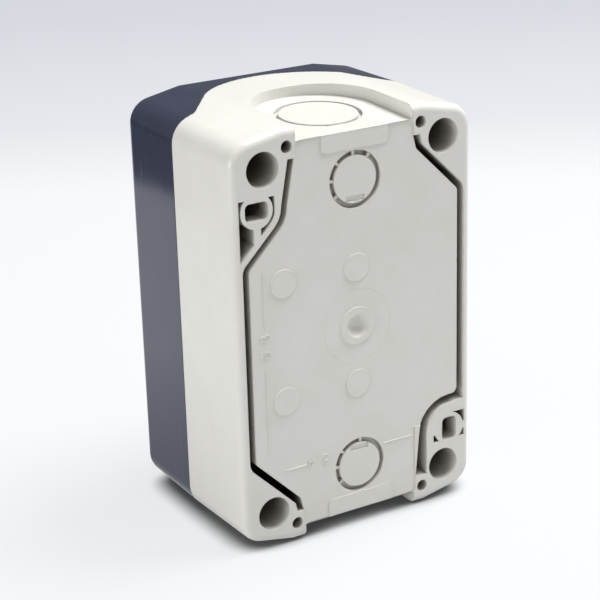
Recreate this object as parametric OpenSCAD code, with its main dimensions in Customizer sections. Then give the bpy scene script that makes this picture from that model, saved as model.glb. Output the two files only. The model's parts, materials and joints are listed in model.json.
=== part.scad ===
// Two-button control station: a light rear base and a dark front cover round two 22 mm button heads,
// with a contact block screwed to the base behind each head.
// Lengths are in millimetres. The box stands on its lower end, its rear face looks along +Y and its buttons
// along -Y. Inside the file a depth is counted forward from the rear face, so y is minus the depth.

/* [Closed box] */
// Width of the closed box at the parting line
box_w = 68; // [67.5:0.1:70]
// Distance from the centre of each head to the end of the box
head_to_end = 38; // [37.8:0.1:39]
// Depth of the rear base at its sides
base_d = 27.5; // [26.5:0.1:28.5]
// Radius of the four upright corners
corner_r = 6.5; // [6:0.1:7]
// Half width of the level middle of each end
crown_half = 19.6; // [18.6:0.2:20.6]
// How steeply each end falls outside its level middle, in degrees
crown_fall = 11; // [9:0.5:12]
// Rounding of the rear edges
rear_round = 2; // [1.2:0.1:2.4]
// Rounding of the front edges
front_round = 3.2; // [2.8:0.1:4]
// How much narrower each side is at the rear than at the parting line
rear_draft = 0.5; // [0.3:0.05:0.7]
// How much narrower each side is at the front than at the parting line
front_draft = 0.2; // [0.1:0.05:0.4]
// Open seam between the base and the cover
seam_gap = 0.25; // [0.15:0.05:0.4]

/* [Base hump and cable entry] */
// How much of the cover is left in front of the arched hump of the base on each end
hump_cover = 6; // [5.5:0.1:6.5]
// Angle at which the flanks of the hump leave its arc
hump_a = 50; // [47:1:53]
// How far the centre of the arc of the hump lies behind the parting line
hump_under = 5; // [4:0.2:6]
// Radius of the hollow curve at the foot of each flank
hump_foot_r = 4; // [3.8:0.1:4.5]
// How much narrower the arched recess of the cable entry is than the panel end, on each side
arch_side = 0.4; // [0.3:0.1:0.7]
// How steeply the floor of the recess rises towards the front, in degrees
arch_rise = 2.2; // [1.8:0.1:2.4]
// Width of the floor that is left between the recess wall and the round groove of the knock-out
entry_rim = 5.5; // [5.2:0.05:5.8]
// How far the centre of the knock-out lies in front of the centre of the arch
entry_forward = 0.2; // [0:0.1:0.6]
// Width of the groove round the cable knock-out
entry_groove_w = 1; // [0.7:0.1:1.2]
// Depth of the groove round the cable knock-out
entry_groove_d = 0.9; // [0.6:0.1:1.1]

/* [Rear panel] */
// Distance from each side of the box to the inner chamber
chamber_side_in = 4.5; // [4.35:0.05:4.7]
// Distance from each end of the box to the inner chamber, which is how deep the cable recess is
chamber_end_in = 4; // [3.8:0.1:4.2]
// Wall thickness of the inner chamber
chamber_wall = 1.9; // [1.8:0.05:2.1]
// Thickness of the rear panel
panel_t = 2.6; // [2.3:0.1:3]
// How far the panel lies below the corners
panel_step = 0.3; // [0.3:0.05:0.4]
// Width of the open channel between the chamber and the outer skirt
channel_w = 1.8; // [1.7:0.05:1.9]
// Width of that channel round the lower fixing slot
channel_low_w = 2.4; // [2.1:0.1:2.6]
// Depth of the channel
channel_d = 22.5; // [20:0.5:23]
// Distance from the corner posts to the narrow end of the panel
neck_in = 8.5; // [8.35:0.05:8.7]
// Distance from each end of the box to the end of each channel
neck_end_in = 8; // [7.7:0.1:8.4]
// Diameter of the small knock-outs in the panel
panel_ko_d = 14.2; // [13.4:0.1:14.4]
// Width of the groove round the small knock-outs
panel_ko_groove_w = 1.2; // [0.8:0.1:1.4]
// Depth of the groove round the small knock-outs
panel_ko_groove_d = 1.5; // [1.1:0.1:1.7]
// Distance from each end of the box to the centre of the small knock-outs
panel_ko_end_in = 16; // [15.8:0.05:16.2]
// Diameter of the round marks behind the block posts
mark_d = 7; // [6:0.1:7.5]
// Height of the raised marks and pads on the panel
mark_h = 0.25; // [0.1:0.05:0.3]
// Half width of the pad at each end of the panel
pad_x = 9.4; // [8:0.1:11]
// Length of the pad at each end of the panel
pad_l = 4.5; // [4.2:0.1:4.6]
// Diameter of the rim round the moulding gate in the middle
gate_d = 9.6; // [9:0.1:10]
// Width of the dished hollow of the gate
gate_bowl_d = 6.2; // [5.8:0.1:6.6]
// Depth of the dished hollow of the gate
gate_bowl_deep = 1.6; // [1.2:0.1:1.7]

/* [Wall fixing slots] */
// Distance from the side of the box to each slot
slot_side_in = 7; // [6.9:0.05:7.1]
// Distance from the end of the box to each slot
slot_end_in = 19; // [18.9:0.05:19.1]
// Width of the slots
slot_w = 4.3; // [4.1:0.1:4.6]
// Length of the slots
slot_l = 6.2; // [5.8:0.1:6.4]
// Radius of the corners of the slots
slot_round = 1.3; // [0.8:0.1:1.8]
// Outer diameter of the ring round each slot
slot_ring_d = 8.6; // [8.5:0.05:8.7]
// Bore for the head of the wall screw
slot_head_d = 7; // [6.8:0.1:7.3]
// Thickness of the shelf that the wall screw clamps
slot_shelf = 4.5; // [3.5:0.1:6]
// Depth of the cored pockets beside the rings
pocket_d = 13; // [10:0.5:16]

/* [Corner posts] */
// Distance from the side of the box to each cover screw
post_side_in = 8.9; // [8.8:0.05:9]
// Distance from the end of the box to each cover screw
post_end_in = 9.4; // [9.3:0.05:9.5]
// Diameter of the cored hole behind each post
core_d = 8.6; // [8:0.1:8.7]
// Depth of the cored hole
core_deep = 17; // [12:0.5:18]
// Distance from each corner post to the small hole beside it, across
drain_in = 6.5; // [6.4:0.05:6.6]
// Distance from the end of the box to each small hole
drain_end_in = 5; // [4.9:0.05:5.2]
// Diameter of the small holes
drain_d = 3; // [2.4:0.1:3.1]
// Depth of the small holes
drain_deep = 8; // [5:0.5:12]

/* [Front cover] */
// Thickness of the side walls of the cover
cover_wall = 2.4; // [2.2:0.1:2.6]
// Thickness of the front wall of the cover
front_wall = 2.5; // [2.2:0.1:2.8]
// How much lower the inner flange, which holds the gasket, is than the curve at the foot of the hump
flange_spare = 0.4; // [0.3:0.1:0.7]
// Diameter of the shank of the cover screws
screw_d = 3.9; // [3.5:0.1:4]
// Diameter of the head of the cover screws
screw_head_d = 7.4; // [6.8:0.1:7.6]
// Thickness of the head of the cover screws
screw_head_h = 2.8; // [2.4:0.1:3.2]
// Depth of the recess in which each screw head sits
screw_recess = 4; // [3.4:0.1:5]
// Width of the gasket
gasket_w = 2.6; // [2.4:0.1:2.7]
// Thickness of the gasket
gasket_t = 1.5; // [1.2:0.1:1.8]
// Width of the tongue of the base that presses on the gasket
tongue_w = 1.1; // [0.9:0.1:1.3]
// Height of that tongue
tongue_h = 1; // [0.7:0.1:1.3]

/* [Button heads] */
// Free distance between the two heads
head_gap = 1; // [0.8:0.1:2]
// Outer diameter of the threaded barrel
barrel_d = 22; // [21.8:0.05:22.1]
// Wall thickness of the barrel
barrel_wall = 2.5; // [2.3:0.1:2.7]
// Length of the barrel behind the front face of the cover
barrel_back = 15; // [14.6:0.1:15.2]
// Thickness of the floor of the bezel, under the cap
bezel_floor_t = 1.1; // [0.9:0.1:1.7]
// How far the bezel stands out over the barrel
bezel_flange = 3.5; // [3.3:0.1:4]
// Width of the rim of the bezel round the cap
bezel_rim = 2.9; // [2.6:0.1:3.1]
// Thickness of the cap
cap_t = 1.9; // [1.6:0.1:2]
// How far the cap lies behind the edge of the bezel
cap_inset = 0.5; // [0.3:0.1:0.6]
// Travel of the button
travel = 4.3; // [3.9:0.1:4.4]
// Clearance of the return spring, inside the barrel and round the rod of the pusher
spring_clear = 1.4; // [1.1:0.1:1.6]
// Thickness of the seal under the bezel
seal_t = 1; // [0.8:0.1:1.2]
// Width of the ring nut round the barrel
nut_rim = 2.8; // [2.3:0.1:3.2]
// Thickness of the ring nut
nut_t = 4.5; // [4:0.1:5]
// Play around moving pieces
play = 0.3; // [0.2:0.05:0.35]
// Play of threads and press seats, on the radius
seat_play = 0.05; // [0.03:0.01:0.08]

/* [Contact blocks] */
// Width of a contact block
block_w = 20; // [19:0.2:21]
// Free distance between the two blocks
block_gap = 1.6; // [1:0.1:2]
// Depth of the housing of a contact block
block_deep = 20; // [19.6:0.1:20.2]
// Height of the posts that carry the blocks
block_post_h = 5; // [4.7:0.1:5.2]
// Distance from the side of the inner chamber to the side posts
block_post_in = 9.1; // [8.9:0.1:9.3]
// Diameter of the block posts
block_post_d = 7; // [6.4:0.1:7.4]
// Thickness of the lid of a block
block_lid_t = 2; // [1.8:0.1:2.2]
// Width of the square plunger of a block
plunger_w = 5.4; // [5:0.1:5.6]
// Thickness of the contact strips and of the bridge
strip_t = 0.8; // [0.6:0.05:0.9]
// Thickness of the silver pads
silver_t = 0.5; // [0.4:0.05:0.6]

/* [Hidden] */

// Smoothness of true round surfaces and of the small roundings of outlines
$fn = 72;
fine_n = 24;
// Overrun of every cut, and the bite of a piece that is fused to a wall
over = 0.5;
bite = 0.2;

// Steps along each corner, each half crown, each edge rounding and each arc of the parting line
corner_steps = 7;
round_steps = 5;
arc_steps = 8;
foot_steps = 4;
quarter_turn = 90;
ends = [-1, 1];
corners = [[1, 1], [-1, 1], [1, -1], [-1, -1]];

// Sizes of a head across, and the distance between the two heads
head_hole_play = 0.15;
head_hole_d = barrel_d + 2 * head_hole_play;
stem_bore_d = barrel_d - 2 * barrel_wall;
bezel_d = barrel_d + 2 * bezel_flange;
bezel_bore_d = bezel_d - 2 * bezel_rim;
cap_d = bezel_bore_d - 2 * play;
spring_wire = 1.2;
spring_mean_d = stem_bore_d - spring_wire - 2 * spring_clear;
rod_d = spring_mean_d - spring_wire - 2 * spring_clear;
nut_d = barrel_d + 2 * nut_rim;
pitch = max(bezel_d, nut_d) + head_gap;
start_z = pitch / 2;
stop_z = -pitch / 2;
box_h = pitch + 2 * head_to_end;

// Depths forward from the rear face: the panel, a contact block and a head make up the depth of the box
panel_back = panel_step;
floor_d = panel_step + panel_t;
block_back = floor_d + block_post_h;
block_front = block_back + block_deep;
lid_front = block_front + block_lid_t;
plunger_spare = 0.7;
plunger_top = lid_front + travel + plunger_spare;
pusher_tip = plunger_top + play;
tip_l = 0.5;
pusher_flange_t = 2;
pusher_flange_back = pusher_tip + tip_l;
pusher_flange_front = pusher_flange_back + pusher_flange_t;
barrel_end = pusher_flange_front + play;
box_d = barrel_end + barrel_back;
cover_in = box_d - front_wall;

// Depths of the rest of a head
barrel_floor_t = 2;
barrel_floor = barrel_end + barrel_floor_t;
seal_front = box_d + seal_t;
cap_stop_play = 0.2;
cap_floor = seal_front + bezel_floor_t;
cap_under = cap_floor + cap_stop_play + travel;
cap_front = cap_under + cap_t;
bezel_front = cap_front + cap_inset;
stem_l = 8.3;
stem_end = cap_under - stem_l;
rod_shoulder = 1;
stud_d = rod_d - 2 * rod_shoulder;
stud_l = 5;
stud_over = 0.4;
pusher_flange_out = 2;
pusher_flange_d = rod_d + 2 * pusher_flange_out;
tip_d = rod_d - 2 * rod_shoulder;
bezel_edge = 1.3;
bezel_front_d = bezel_d - 2 * bezel_edge;
cap_edge = 0.5;
cap_dish = 0.45;
cap_dish_in = 1.8;
cap_dish_d = cap_d - 2 * cap_dish_in;
key_w = 2.8;
key_out = 1;
seal_out = 0.9;
nut_notches = 8;
nut_notch_w = 3;
nut_notch_deep = 1;
thread_play = seat_play;
spring_turns = 4;

// Places of the whole: the rear face and the floor under the lower end
rear_y = bezel_front / 2;
floor_z = box_h / 2;

// Outline of the box: level middle, sloping shoulders and corner arcs that run into both
corner_x = box_w / 2 - corner_r;
corner_z = box_h / 2 - (corner_x - crown_half) * tan(crown_fall) - corner_r / cos(crown_fall);
corner_a = quarter_turn - crown_fall;

function arc(c, r, from, to, steps) = [for (k = [0:steps])
    let(a = from + (to - from) * k / steps) [c[0] + r * cos(a), c[1] + r * sin(a)]];
function quarter(inset) = concat(
    arc([corner_x, corner_z], corner_r - inset, 0, corner_a, corner_steps),
    [[crown_half - inset * tan(crown_fall / 2), box_h / 2 - inset], [0, box_h / 2 - inset]]);
function upper_half(q) = concat(q, [for (k = [len(q) - 2:-1:0]) [-q[k][0], q[k][1]]]);
function outline(inset) = let(u = upper_half(quarter(inset))) concat(u, -u);

// Rings of the outer shape, each an inset and a depth, from the rear face to the front face
function edge_angle(k) = quarter_turn * k / round_steps;
rear_rings = [for (k = [round_steps:-1:0])
    [rear_draft + rear_round * (1 - cos(edge_angle(k))), rear_round * (1 - sin(edge_angle(k)))]];
front_rings = [for (k = [0:round_steps])
    [front_draft + front_round * (1 - cos(edge_angle(k))), box_d - front_round * (1 - sin(edge_angle(k)))]];
rings = concat(rear_rings, [[0, base_d]], front_rings);

// The parting line, drawn in plan: the hump arc, its two flanks and the hollow curves at their feet.
// It is moved forward by g, so that tongue, gasket, groove and flange all follow it.
hump_r = box_d - base_d - hump_cover + hump_under;
foot_x = (hump_r + hump_foot_r * (1 - cos(hump_a)) - hump_under * cos(hump_a)) / sin(hump_a);
function half_parting(g) = concat(
    [[box_w, -(base_d + g)]],
    [for (k = [0:foot_steps]) let(a = hump_a * k / foot_steps)
        [foot_x - (hump_foot_r - g) * sin(a), -(base_d + hump_foot_r - (hump_foot_r - g) * cos(a))]],
    [for (k = [0:arc_steps]) let(a = hump_a * (1 - k / arc_steps))
        [(hump_r + g) * sin(a), hump_under - base_d - (hump_r + g) * cos(a)]]);
function parting(g) = let(h = half_parting(g)) concat(h, [for (k = [len(h) - 2:-1:0]) [-h[k][0], h[k][1]]]);

// Corner posts, small holes and fixing slots, from the middle
post_x = box_w / 2 - post_side_in;
post_z = box_h / 2 - post_end_in;
drain_x = post_x - drain_in;
drain_z = box_h / 2 - drain_end_in;
slot_x = box_w / 2 - slot_side_in;
slot_z = box_h / 2 - slot_end_in;

// Chamber outline: the plain corners are cut at 45 degrees, the slot corners go round the slots
chamber_x = box_w / 2 - chamber_side_in;
chamber_z = box_h / 2 - chamber_end_in;
neck_x = post_x - neck_in;
neck_z = box_h / 2 - neck_end_in;
plain_neck_out = 0.8;
plain_neck_under = 2;
plain_neck = [neck_x + plain_neck_out, post_z - plain_neck_under];
slot_clear = 8.3;
slot_clear_low = 9.3;
slot_island_r = slot_clear_low - channel_low_w;
diagonal_share = sin(45);
chamber_round = 1.6;
lower_strip_out = 0.2;
lower_strip_over = 3;
panel_ko_z = box_h / 2 - panel_ko_end_in;

// Cable entry: the arch and its knock-out, and the slot behind the outer wall of each hump
arch_r = neck_x - arch_side;
entry_r = arch_r - entry_rim;
entry_depth = arch_r + entry_forward;
bar_l = 6.8;
bar_w = 0.9;
bar_depth = 6.9;
bar_left = 0.8;
hump_wall_in = 0.2;
hump_slot_w = 1.6;
hump_slot_side = 11.5;
hump_arch_wall = 2.2;

// Pockets beside the slots: outer limit, flat side towards the post, rib under the upper ring
pocket_skirt = 2.3;
pocket_over = 3;
pocket_web = 1.5;
rib_in = 1;
rib_out = 0.9;
upper_pocket_l = 15;
pocket_l = 4.8;
lower_pocket_under = 4.2;
lower_web_under = 0.9;
lower_web_over = 1.1;
lower_rib_in = 2.4;
lower_rib_out = 2.6;
lower_inner_out = 0.7;
pocket_x = box_w / 2 - pocket_skirt;
pocket_z = slot_z + pocket_over;
pocket_end_x = slot_x - pocket_l;
lower_web_z = [slot_z - lower_web_under, slot_z + lower_web_over];

// Small forms of the knock-outs, the gate and the pads
web_w = 0.8;
web_angles = [[356, 318, 265, 35], [3, 43, 88, 127, 325]];
web_low_share = 0.25;
dent_l = 5;
dent_w = 1.3;
dent_d = 0.35;
dent_place_share = 0.33;
gate_rim_h = 0.25;
gate_rim_depth = panel_back - gate_rim_h;
gate_ball_r = (pow(gate_bowl_d / 2, 2) + pow(gate_bowl_deep, 2)) / (2 * gate_bowl_deep);
pad_round = 1.2;

// Screw seats, the flange of the cover and the place of the gasket
post_floor = 2;
pilot_play = seat_play;
clear_play = 0.25;
post_wall = 2.6;
screw_end = core_deep + post_floor + over;
screw_cross_w = 1.1;
screw_cross_deep = 1.4;
cross_share = 0.62;
screw_post_r = screw_head_d / 2 + play + post_wall / 2;
flange_h = hump_foot_r - flange_spare;
cover_flange_in = 3.4;
gasket_edge = (chamber_wall - gasket_w) / 2;

// Inside of a contact block
block_l = pitch - block_gap;
block_wall = 2;
well_floor = block_back + block_wall;
ledge_h = 1.4;
ledge = well_floor + ledge_h;
plunger_stop = 0.4;
plunger_end = well_floor + travel + plunger_stop;
spring_bore_l = 2.3;
spring_seat = plunger_end + spring_bore_l;
seat_web = 0.8;
window_from = spring_seat + seat_web;
window_web = 2.4;
window_to = block_front - window_web;
window_w = 3.9;
well_x = 3.6;
well_z = 7.8;
well_low_z = 3.2;
tower_wall = 1;
tower_z = well_z + tower_wall;
shelf_h = 12.1;
shelf_d = block_back + shelf_h;
shelf_wall = 2;
terminal_in = 2.6;
terminal_z = block_l / 2 - terminal_in;
terminal_d = 3;
terminal_head_d = 5.2;
terminal_head_h = 2.4;
terminal_deep = 7;
clamp_w = 4.8;
clamp_t = 0.7;
strip_w = 4.6;
strip_in_z = 3.5;
strip_past = 2.4;
strip_out_z = terminal_z + strip_past;
silver_z = 5.2;
silver_d = 2.6;
bridge_w = 3.6;
bridge_z = 6.5;
bridge_lift = 3.3;
make_bridge = window_from;
make_fixed = ledge;
break_bridge = window_from + bridge_lift;
break_fixed = break_bridge + strip_t + 2 * silver_t + play;
block_post_x = chamber_x - block_post_in;
ear_t = 4;
ear_z = 5;
ear_past = 4.2;
ear_end = block_post_x + ear_past;
block_screw_d = 2.8;
block_screw_head_d = 5.4;
block_screw_head_h = 2.1;
block_screw_l = 8;
peg_d = 3;
peg_h = 2;
lid_hole_w = plunger_w + 2 * play;
slot_cut_w = 0.8;
slot_cut_deep = 0.9;
small_wire = 0.5;
block_spring_mean_d = 2.9;
block_spring_turns = 4;
contact_spring_mean_d = 2.6;
contact_spring_pitch = 1;
wire_sides = 6;
turn_rings = 10;

// Free gap between the turns of the springs at rest
echo(block_spring_gap = (spring_seat - well_floor - small_wire) / block_spring_turns - small_wire,
    head_spring_gap = (stem_end - barrel_floor - spring_wire) / spring_turns - spring_wire);

// Placing helpers
module placed() translate([0, rear_y, floor_z]) children();
module slab(from, to) translate([0, -from, 0]) rotate([90, 0, 0]) linear_extrude(to - from) children();
module in_plan(height = 2 * box_h) linear_extrude(height, center = true) children();
module at_head(z) placed() translate([0, 0, z]) children();
module rod(d, from, to) slab(from, to) circle(d = d);
module at_corners(x, z) for (c = corners) translate([c[0] * x, 0, c[1] * z]) children();

// Outer shape of the closed box as one skin of rings
module envelope() {
    n = len(outline(0));
    count = len(rings);
    points = [for (r = rings) for (p = outline(r[0])) [p[0], -r[1], p[1]]];
    sides = [for (k = [0:count - 2]) for (j = [0:n - 1]) let(i = (j + 1) % n)
        [k * n + j, (k + 1) * n + j, (k + 1) * n + i, k * n + i]];
    rear_cap = [[for (j = [0:n - 1]) j]];
    front_cap = [[for (j = [n - 1:-1:0]) (count - 1) * n + j]];
    polyhedron(points, concat(sides, rear_cap, front_cap), convexity = 6);
}
module behind_parting(g) {
    line = parting(g);
    polygon(concat(line, [[-box_w, over], [box_w, over]]));
}
module parting_band(from, to) in_plan() difference() {
    behind_parting(to);
    behind_parting(from);
}

// Chamber outline seen from the front, before its corners are rounded
module chamber_sharp() difference() {
    square([2 * chamber_x, 2 * chamber_z], center = true);
    plain_corner();
    rotate(180) plain_corner();
    upper_slot_corner();
    lower_slot_corner();
}
module plain_corner() polygon([
    [-neck_x, chamber_z + over], [-neck_x, neck_z], [-plain_neck[0], plain_neck[1]],
    [-chamber_x - over, plain_neck[1] - (chamber_x + over - plain_neck[0])],
    [-chamber_x - over, chamber_z + over]]);
module upper_slot_corner() {
    edge = slot_clear * diagonal_share;
    translate([slot_x, slot_z]) circle(slot_clear);
    polygon([
        [neck_x, chamber_z + over], [neck_x, neck_z], [slot_x - slot_clear, slot_z],
        [slot_x, slot_z], [slot_x - edge, slot_z - edge],
        [chamber_x + over, slot_z - 2 * edge - (chamber_x + over - slot_x)],
        [chamber_x + over, chamber_z + over]]);
}
module lower_slot_corner() {
    translate([-slot_x, -slot_z]) circle(slot_clear_low);
    polygon([
        [-neck_x, -chamber_z - over], [-neck_x, -neck_z], [-slot_x + slot_clear_low, -slot_z],
        [-slot_x, -slot_z], [-slot_x, -slot_z + slot_clear_low],
        [-chamber_x - over, -slot_z + slot_clear_low], [-chamber_x - over, -chamber_z - over]]);
}
module chamber(grow = 0) offset(delta = grow) offset(r = chamber_round, $fn = fine_n)
    offset(delta = -2 * chamber_round) offset(r = chamber_round, $fn = fine_n) chamber_sharp();
module ring_round_chamber(outer, inner) difference() {
    chamber(outer);
    chamber(inner);
}

// Openings of the base that are seen from behind; the channel is wider round the lower fixing slot
module lower_slot_surround() difference() {
    polygon([
        [-chamber_x - channel_w, slot_clear_low - slot_z],
        [-chamber_x - channel_w, slot_clear_low - channel_w - slot_z],
        [-slot_x, slot_island_r - slot_z], [-slot_x, -slot_z], [slot_island_r - slot_x, -slot_z],
        [slot_island_r - slot_x, -neck_z - over], [-neck_x, -neck_z - over],
        [-neck_x, slot_clear_low - slot_z]]);
    translate([-slot_x, -slot_z]) circle(slot_island_r);
}
module channels() intersection() {
    difference() {
        union() {
            chamber(channel_w);
            lower_slot_surround();
        }
        chamber();
    }
    square([box_w, 2 * neck_z], center = true);
    difference() {
        square([box_w, box_h], center = true);
        square([2 * neck_x, box_h], center = true);
    }
}
module slot_shape() offset(r = slot_round, $fn = fine_n)
    square([slot_l - 2 * slot_round, slot_w - 2 * slot_round], center = true);
module upper_pockets() difference() {
    union() {
        translate([slot_x + rib_out, pocket_z - upper_pocket_l])
            square([pocket_x - slot_x - rib_out, upper_pocket_l]);
        translate([pocket_end_x, pocket_z - upper_pocket_l]) square([pocket_l - rib_in, upper_pocket_l]);
    }
    translate([slot_x, slot_z]) circle(d = slot_ring_d);
    chamber(channel_w + pocket_web);
}
module lower_pockets() difference() {
    union() {
        translate([-pocket_x, -lower_web_z[0]])
            square([pocket_x - slot_x - lower_inner_out, lower_pocket_under - lower_web_under]);
        translate([-pocket_x, -pocket_z])
            square([pocket_x - slot_x - lower_rib_out, pocket_z - lower_web_z[1]]);
        translate([lower_rib_in - slot_x, -pocket_z])
            square([pocket_l - lower_rib_in, pocket_z - lower_web_z[1]]);
    }
    translate([-slot_x, -slot_z]) circle(d = slot_ring_d);
}
module arch_recess() for (s = ends) scale([1, 1, s]) translate([0, 0, chamber_z])
    rotate([-arch_rise, 0, 0]) linear_extrude(box_h) {
        translate([0, -arch_r]) circle(arch_r);
        translate([-arch_r, -arch_r]) square([2 * arch_r, arch_r + over]);
    }
module entry_groove() for (s = ends) scale([1, 1, s]) translate([0, 0, chamber_z])
    rotate([-arch_rise, 0, 0]) {
        translate([0, -entry_depth, -entry_groove_d]) linear_extrude(box_h) difference() {
            circle(entry_r);
            circle(entry_r - entry_groove_w);
        }
        translate([bar_left - bar_l / 2, -bar_depth, -dent_d]) cube([bar_l, bar_w, box_h]);
    }
module panel_knock_out(webs) {
    difference() {
        slab(-2 * over, panel_back + panel_ko_groove_d) difference() {
            circle(d = panel_ko_d);
            circle(d = panel_ko_d - 2 * panel_ko_groove_w);
        }
        slab(panel_back + panel_ko_groove_d * web_low_share, box_d) for (a = webs) rotate(a)
            translate([0, -web_w / 2]) square([panel_ko_d, web_w]);
    }
    slab(-2 * over, panel_back + dent_d) translate([0, -panel_ko_d * dent_place_share])
        square([dent_l, dent_w], center = true);
}

// Rear base: the double-walled box with its humps, recesses, slots and corner posts
module rear_base() color("gainsboro") placed() {
    difference() {
        intersection() {
            envelope();
            in_plan() behind_parting(0);
        }
        slab(floor_d, box_d) chamber(-chamber_wall);
        slab(-over, channel_d) channels();
        slab(-over, panel_back) difference() {
            chamber();
            translate([-box_w - neck_x + lower_strip_out, -box_h - slot_z + lower_strip_over])
                square([box_w, box_h]);
        }
        arch_recess();
        entry_groove();
        hump_hollow();
        for (k = [0, 1]) scale([1, 1, ends[k]]) translate([0, 0, panel_ko_z]) panel_knock_out(web_angles[k]);
        base_corner_holes();
        slab(-over, pocket_d) upper_pockets();
        slab(-over, pocket_d) lower_pockets();
        translate([0, gate_ball_r - gate_rim_depth - gate_bowl_deep, 0]) sphere(gate_ball_r);
    }
    base_tongue();
    base_marks();
    for (z = [start_z, stop_z]) translate([0, 0, z]) block_posts();
}
// Slot behind the outer wall of each hump, open to the front, so that both walls stay thin
module hump_hollow() for (s = ends) scale([1, 1, s]) translate([0, 0, chamber_z + hump_wall_in])
    linear_extrude(hump_slot_w) difference() {
        translate([hump_slot_side - hump_r, -box_d]) square([2 * (hump_r - hump_slot_side), box_d - base_d]);
        translate([0, -arch_r]) circle(arch_r + hump_arch_wall);
    }
module base_corner_holes() {
    at_corners(post_x, post_z) {
        rod(core_d, -over, core_deep);
        rod(screw_d + 2 * pilot_play, core_deep + post_floor, box_d);
    }
    at_corners(drain_x, drain_z) rod(drain_d, -over, drain_deep);
    slab(-over, box_d) {
        translate([slot_x, slot_z]) slot_shape();
        translate([-slot_x, -slot_z]) rotate(90) slot_shape();
    }
    for (s = ends) translate([s * slot_x, 0, s * slot_z]) rod(slot_head_d, slot_shelf, box_d);
}
module base_tongue() intersection() {
    parting_band(-bite, tongue_h);
    slab(floor_d, box_d) ring_round_chamber(-(chamber_wall - tongue_w) / 2, -(chamber_wall + tongue_w) / 2);
}
module base_marks() {
    for (z = [start_z, stop_z]) for (x = [0, block_post_x])
        translate([x, 0, z]) rod(mark_d, panel_back - mark_h, floor_d);
    slab(panel_back - mark_h, floor_d) intersection() {
        for (s = ends) scale([1, s]) translate([-pad_x, chamber_z - pad_l]) rounded_pad();
        square([2 * chamber_x, 2 * chamber_z], center = true);
    }
    difference() {
        rod(gate_d, gate_rim_depth, floor_d);
        translate([0, gate_ball_r - gate_rim_depth - gate_bowl_deep, 0]) sphere(gate_ball_r);
    }
}
module rounded_pad() offset(r = pad_round, $fn = fine_n) translate([pad_round, pad_round])
    square([2 * (pad_x - pad_round), pad_l]);
module block_posts() {
    difference() {
        for (x = [0, block_post_x]) translate([x, 0, 0]) rod(block_post_d, floor_d - bite, block_back);
        translate([block_post_x, 0, 0])
            rod(block_screw_d + 2 * pilot_play, block_back + ear_t - block_screw_l - play, box_d);
    }
    rod(peg_d, floor_d, block_back + peg_h);
}

// Front cover: the dark shell with its gasket flange, its screw posts and the two head holes
module front_cover() color("darkslategray") placed() difference() {
    union() {
        difference() {
            envelope();
            in_plan() behind_parting(seam_gap);
            slab(0, cover_in) polygon(outline(cover_wall));
        }
        intersection() {
            parting_band(seam_gap, flange_h);
            slab(0, cover_in + bite) difference() {
                polygon(outline(cover_wall - bite));
                chamber(-cover_flange_in);
            }
        }
        intersection() {
            slab(base_d + seam_gap, cover_in + bite) intersection() {
                polygon(outline(cover_wall - bite));
                for (c = corners) scale([c[0], c[1]])
                    translate([post_x - screw_post_r, post_z - screw_post_r]) square(box_w);
            }
            difference() {
                in_plan() square([2 * box_w, 4 * box_d], center = true);
                in_plan() behind_parting(seam_gap);
            }
        }
    }
    intersection() {
        parting_band(-over, tongue_h + gasket_t);
        slab(0, box_d) ring_round_chamber(-gasket_edge + play, -gasket_edge - gasket_w - play);
    }
    at_corners(post_x, post_z) {
        rod(screw_d + 2 * clear_play, 0, box_d + over);
        rod(screw_head_d + 2 * play, box_d - screw_recess, box_d + over);
    }
    for (z = [start_z, stop_z]) translate([0, 0, z]) {
        rod(head_hole_d, cover_in - over, box_d + over);
        slab(cover_in - over, box_d + over) translate([-key_w / 2 - play, 0])
            square([key_w + 2 * play, barrel_d / 2 + key_out + play]);
    }
}

module cover_gasket() color("dimgray") placed() intersection() {
    parting_band(tongue_h, tongue_h + gasket_t);
    slab(0, box_d) ring_round_chamber(-gasket_edge, -gasket_edge - gasket_w);
}
module cover_screws() color("silver") placed() at_corners(post_x, post_z) {
    difference() {
        union() {
            rod(screw_d, screw_end, box_d - screw_recess + bite);
            rod(screw_head_d, box_d - screw_recess, box_d - screw_recess + screw_head_h);
        }
        slab(box_d - screw_recess + screw_head_h - screw_cross_deep, box_d) for (a = [0, 90]) rotate(a)
            square([screw_head_d * cross_share, screw_cross_w], center = true);
    }
}

// Button heads
module ring_profile(points) rotate([90, 0, 0]) rotate_extrude() polygon(points);
module button_cap(z) at_head(z) difference() {
    ring_profile([
        [0, stem_end], [stem_bore_d / 2 - play, stem_end], [stem_bore_d / 2 - play, cap_under],
        [cap_d / 2, cap_under], [cap_d / 2, cap_front - cap_edge], [cap_d / 2 - cap_edge, cap_front],
        [cap_dish_d / 2, cap_front], [cap_dish_d / 2 - cap_dish, cap_front - cap_dish],
        [0, cap_front - cap_dish]]);
    rod(stud_d + 2 * seat_play, 0, stem_end + stud_l + stud_over);
}
module bezel(z) color("dimgray") at_head(z) difference() {
    union() {
        ring_profile([
            [stem_bore_d / 2, barrel_floor], [rod_d / 2 + play, barrel_floor], [rod_d / 2 + play, barrel_end],
            [barrel_d / 2, barrel_end], [barrel_d / 2, seal_front], [bezel_d / 2, seal_front],
            [bezel_d / 2, bezel_front - bezel_edge * 2], [bezel_front_d / 2, bezel_front],
            [bezel_bore_d / 2, bezel_front], [bezel_bore_d / 2, cap_floor], [stem_bore_d / 2, cap_floor]]);
        slab(cover_in + seat_play, box_d - seat_play) translate([-key_w / 2, barrel_d / 2 - bite])
            square([key_w, key_out + bite]);
    }
}
module panel_seal(z) color("black") at_head(z) slab(box_d, seal_front) difference() {
    circle(d = bezel_d - 2 * seal_out);
    circle(d = barrel_d + 2 * play);
}
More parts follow.
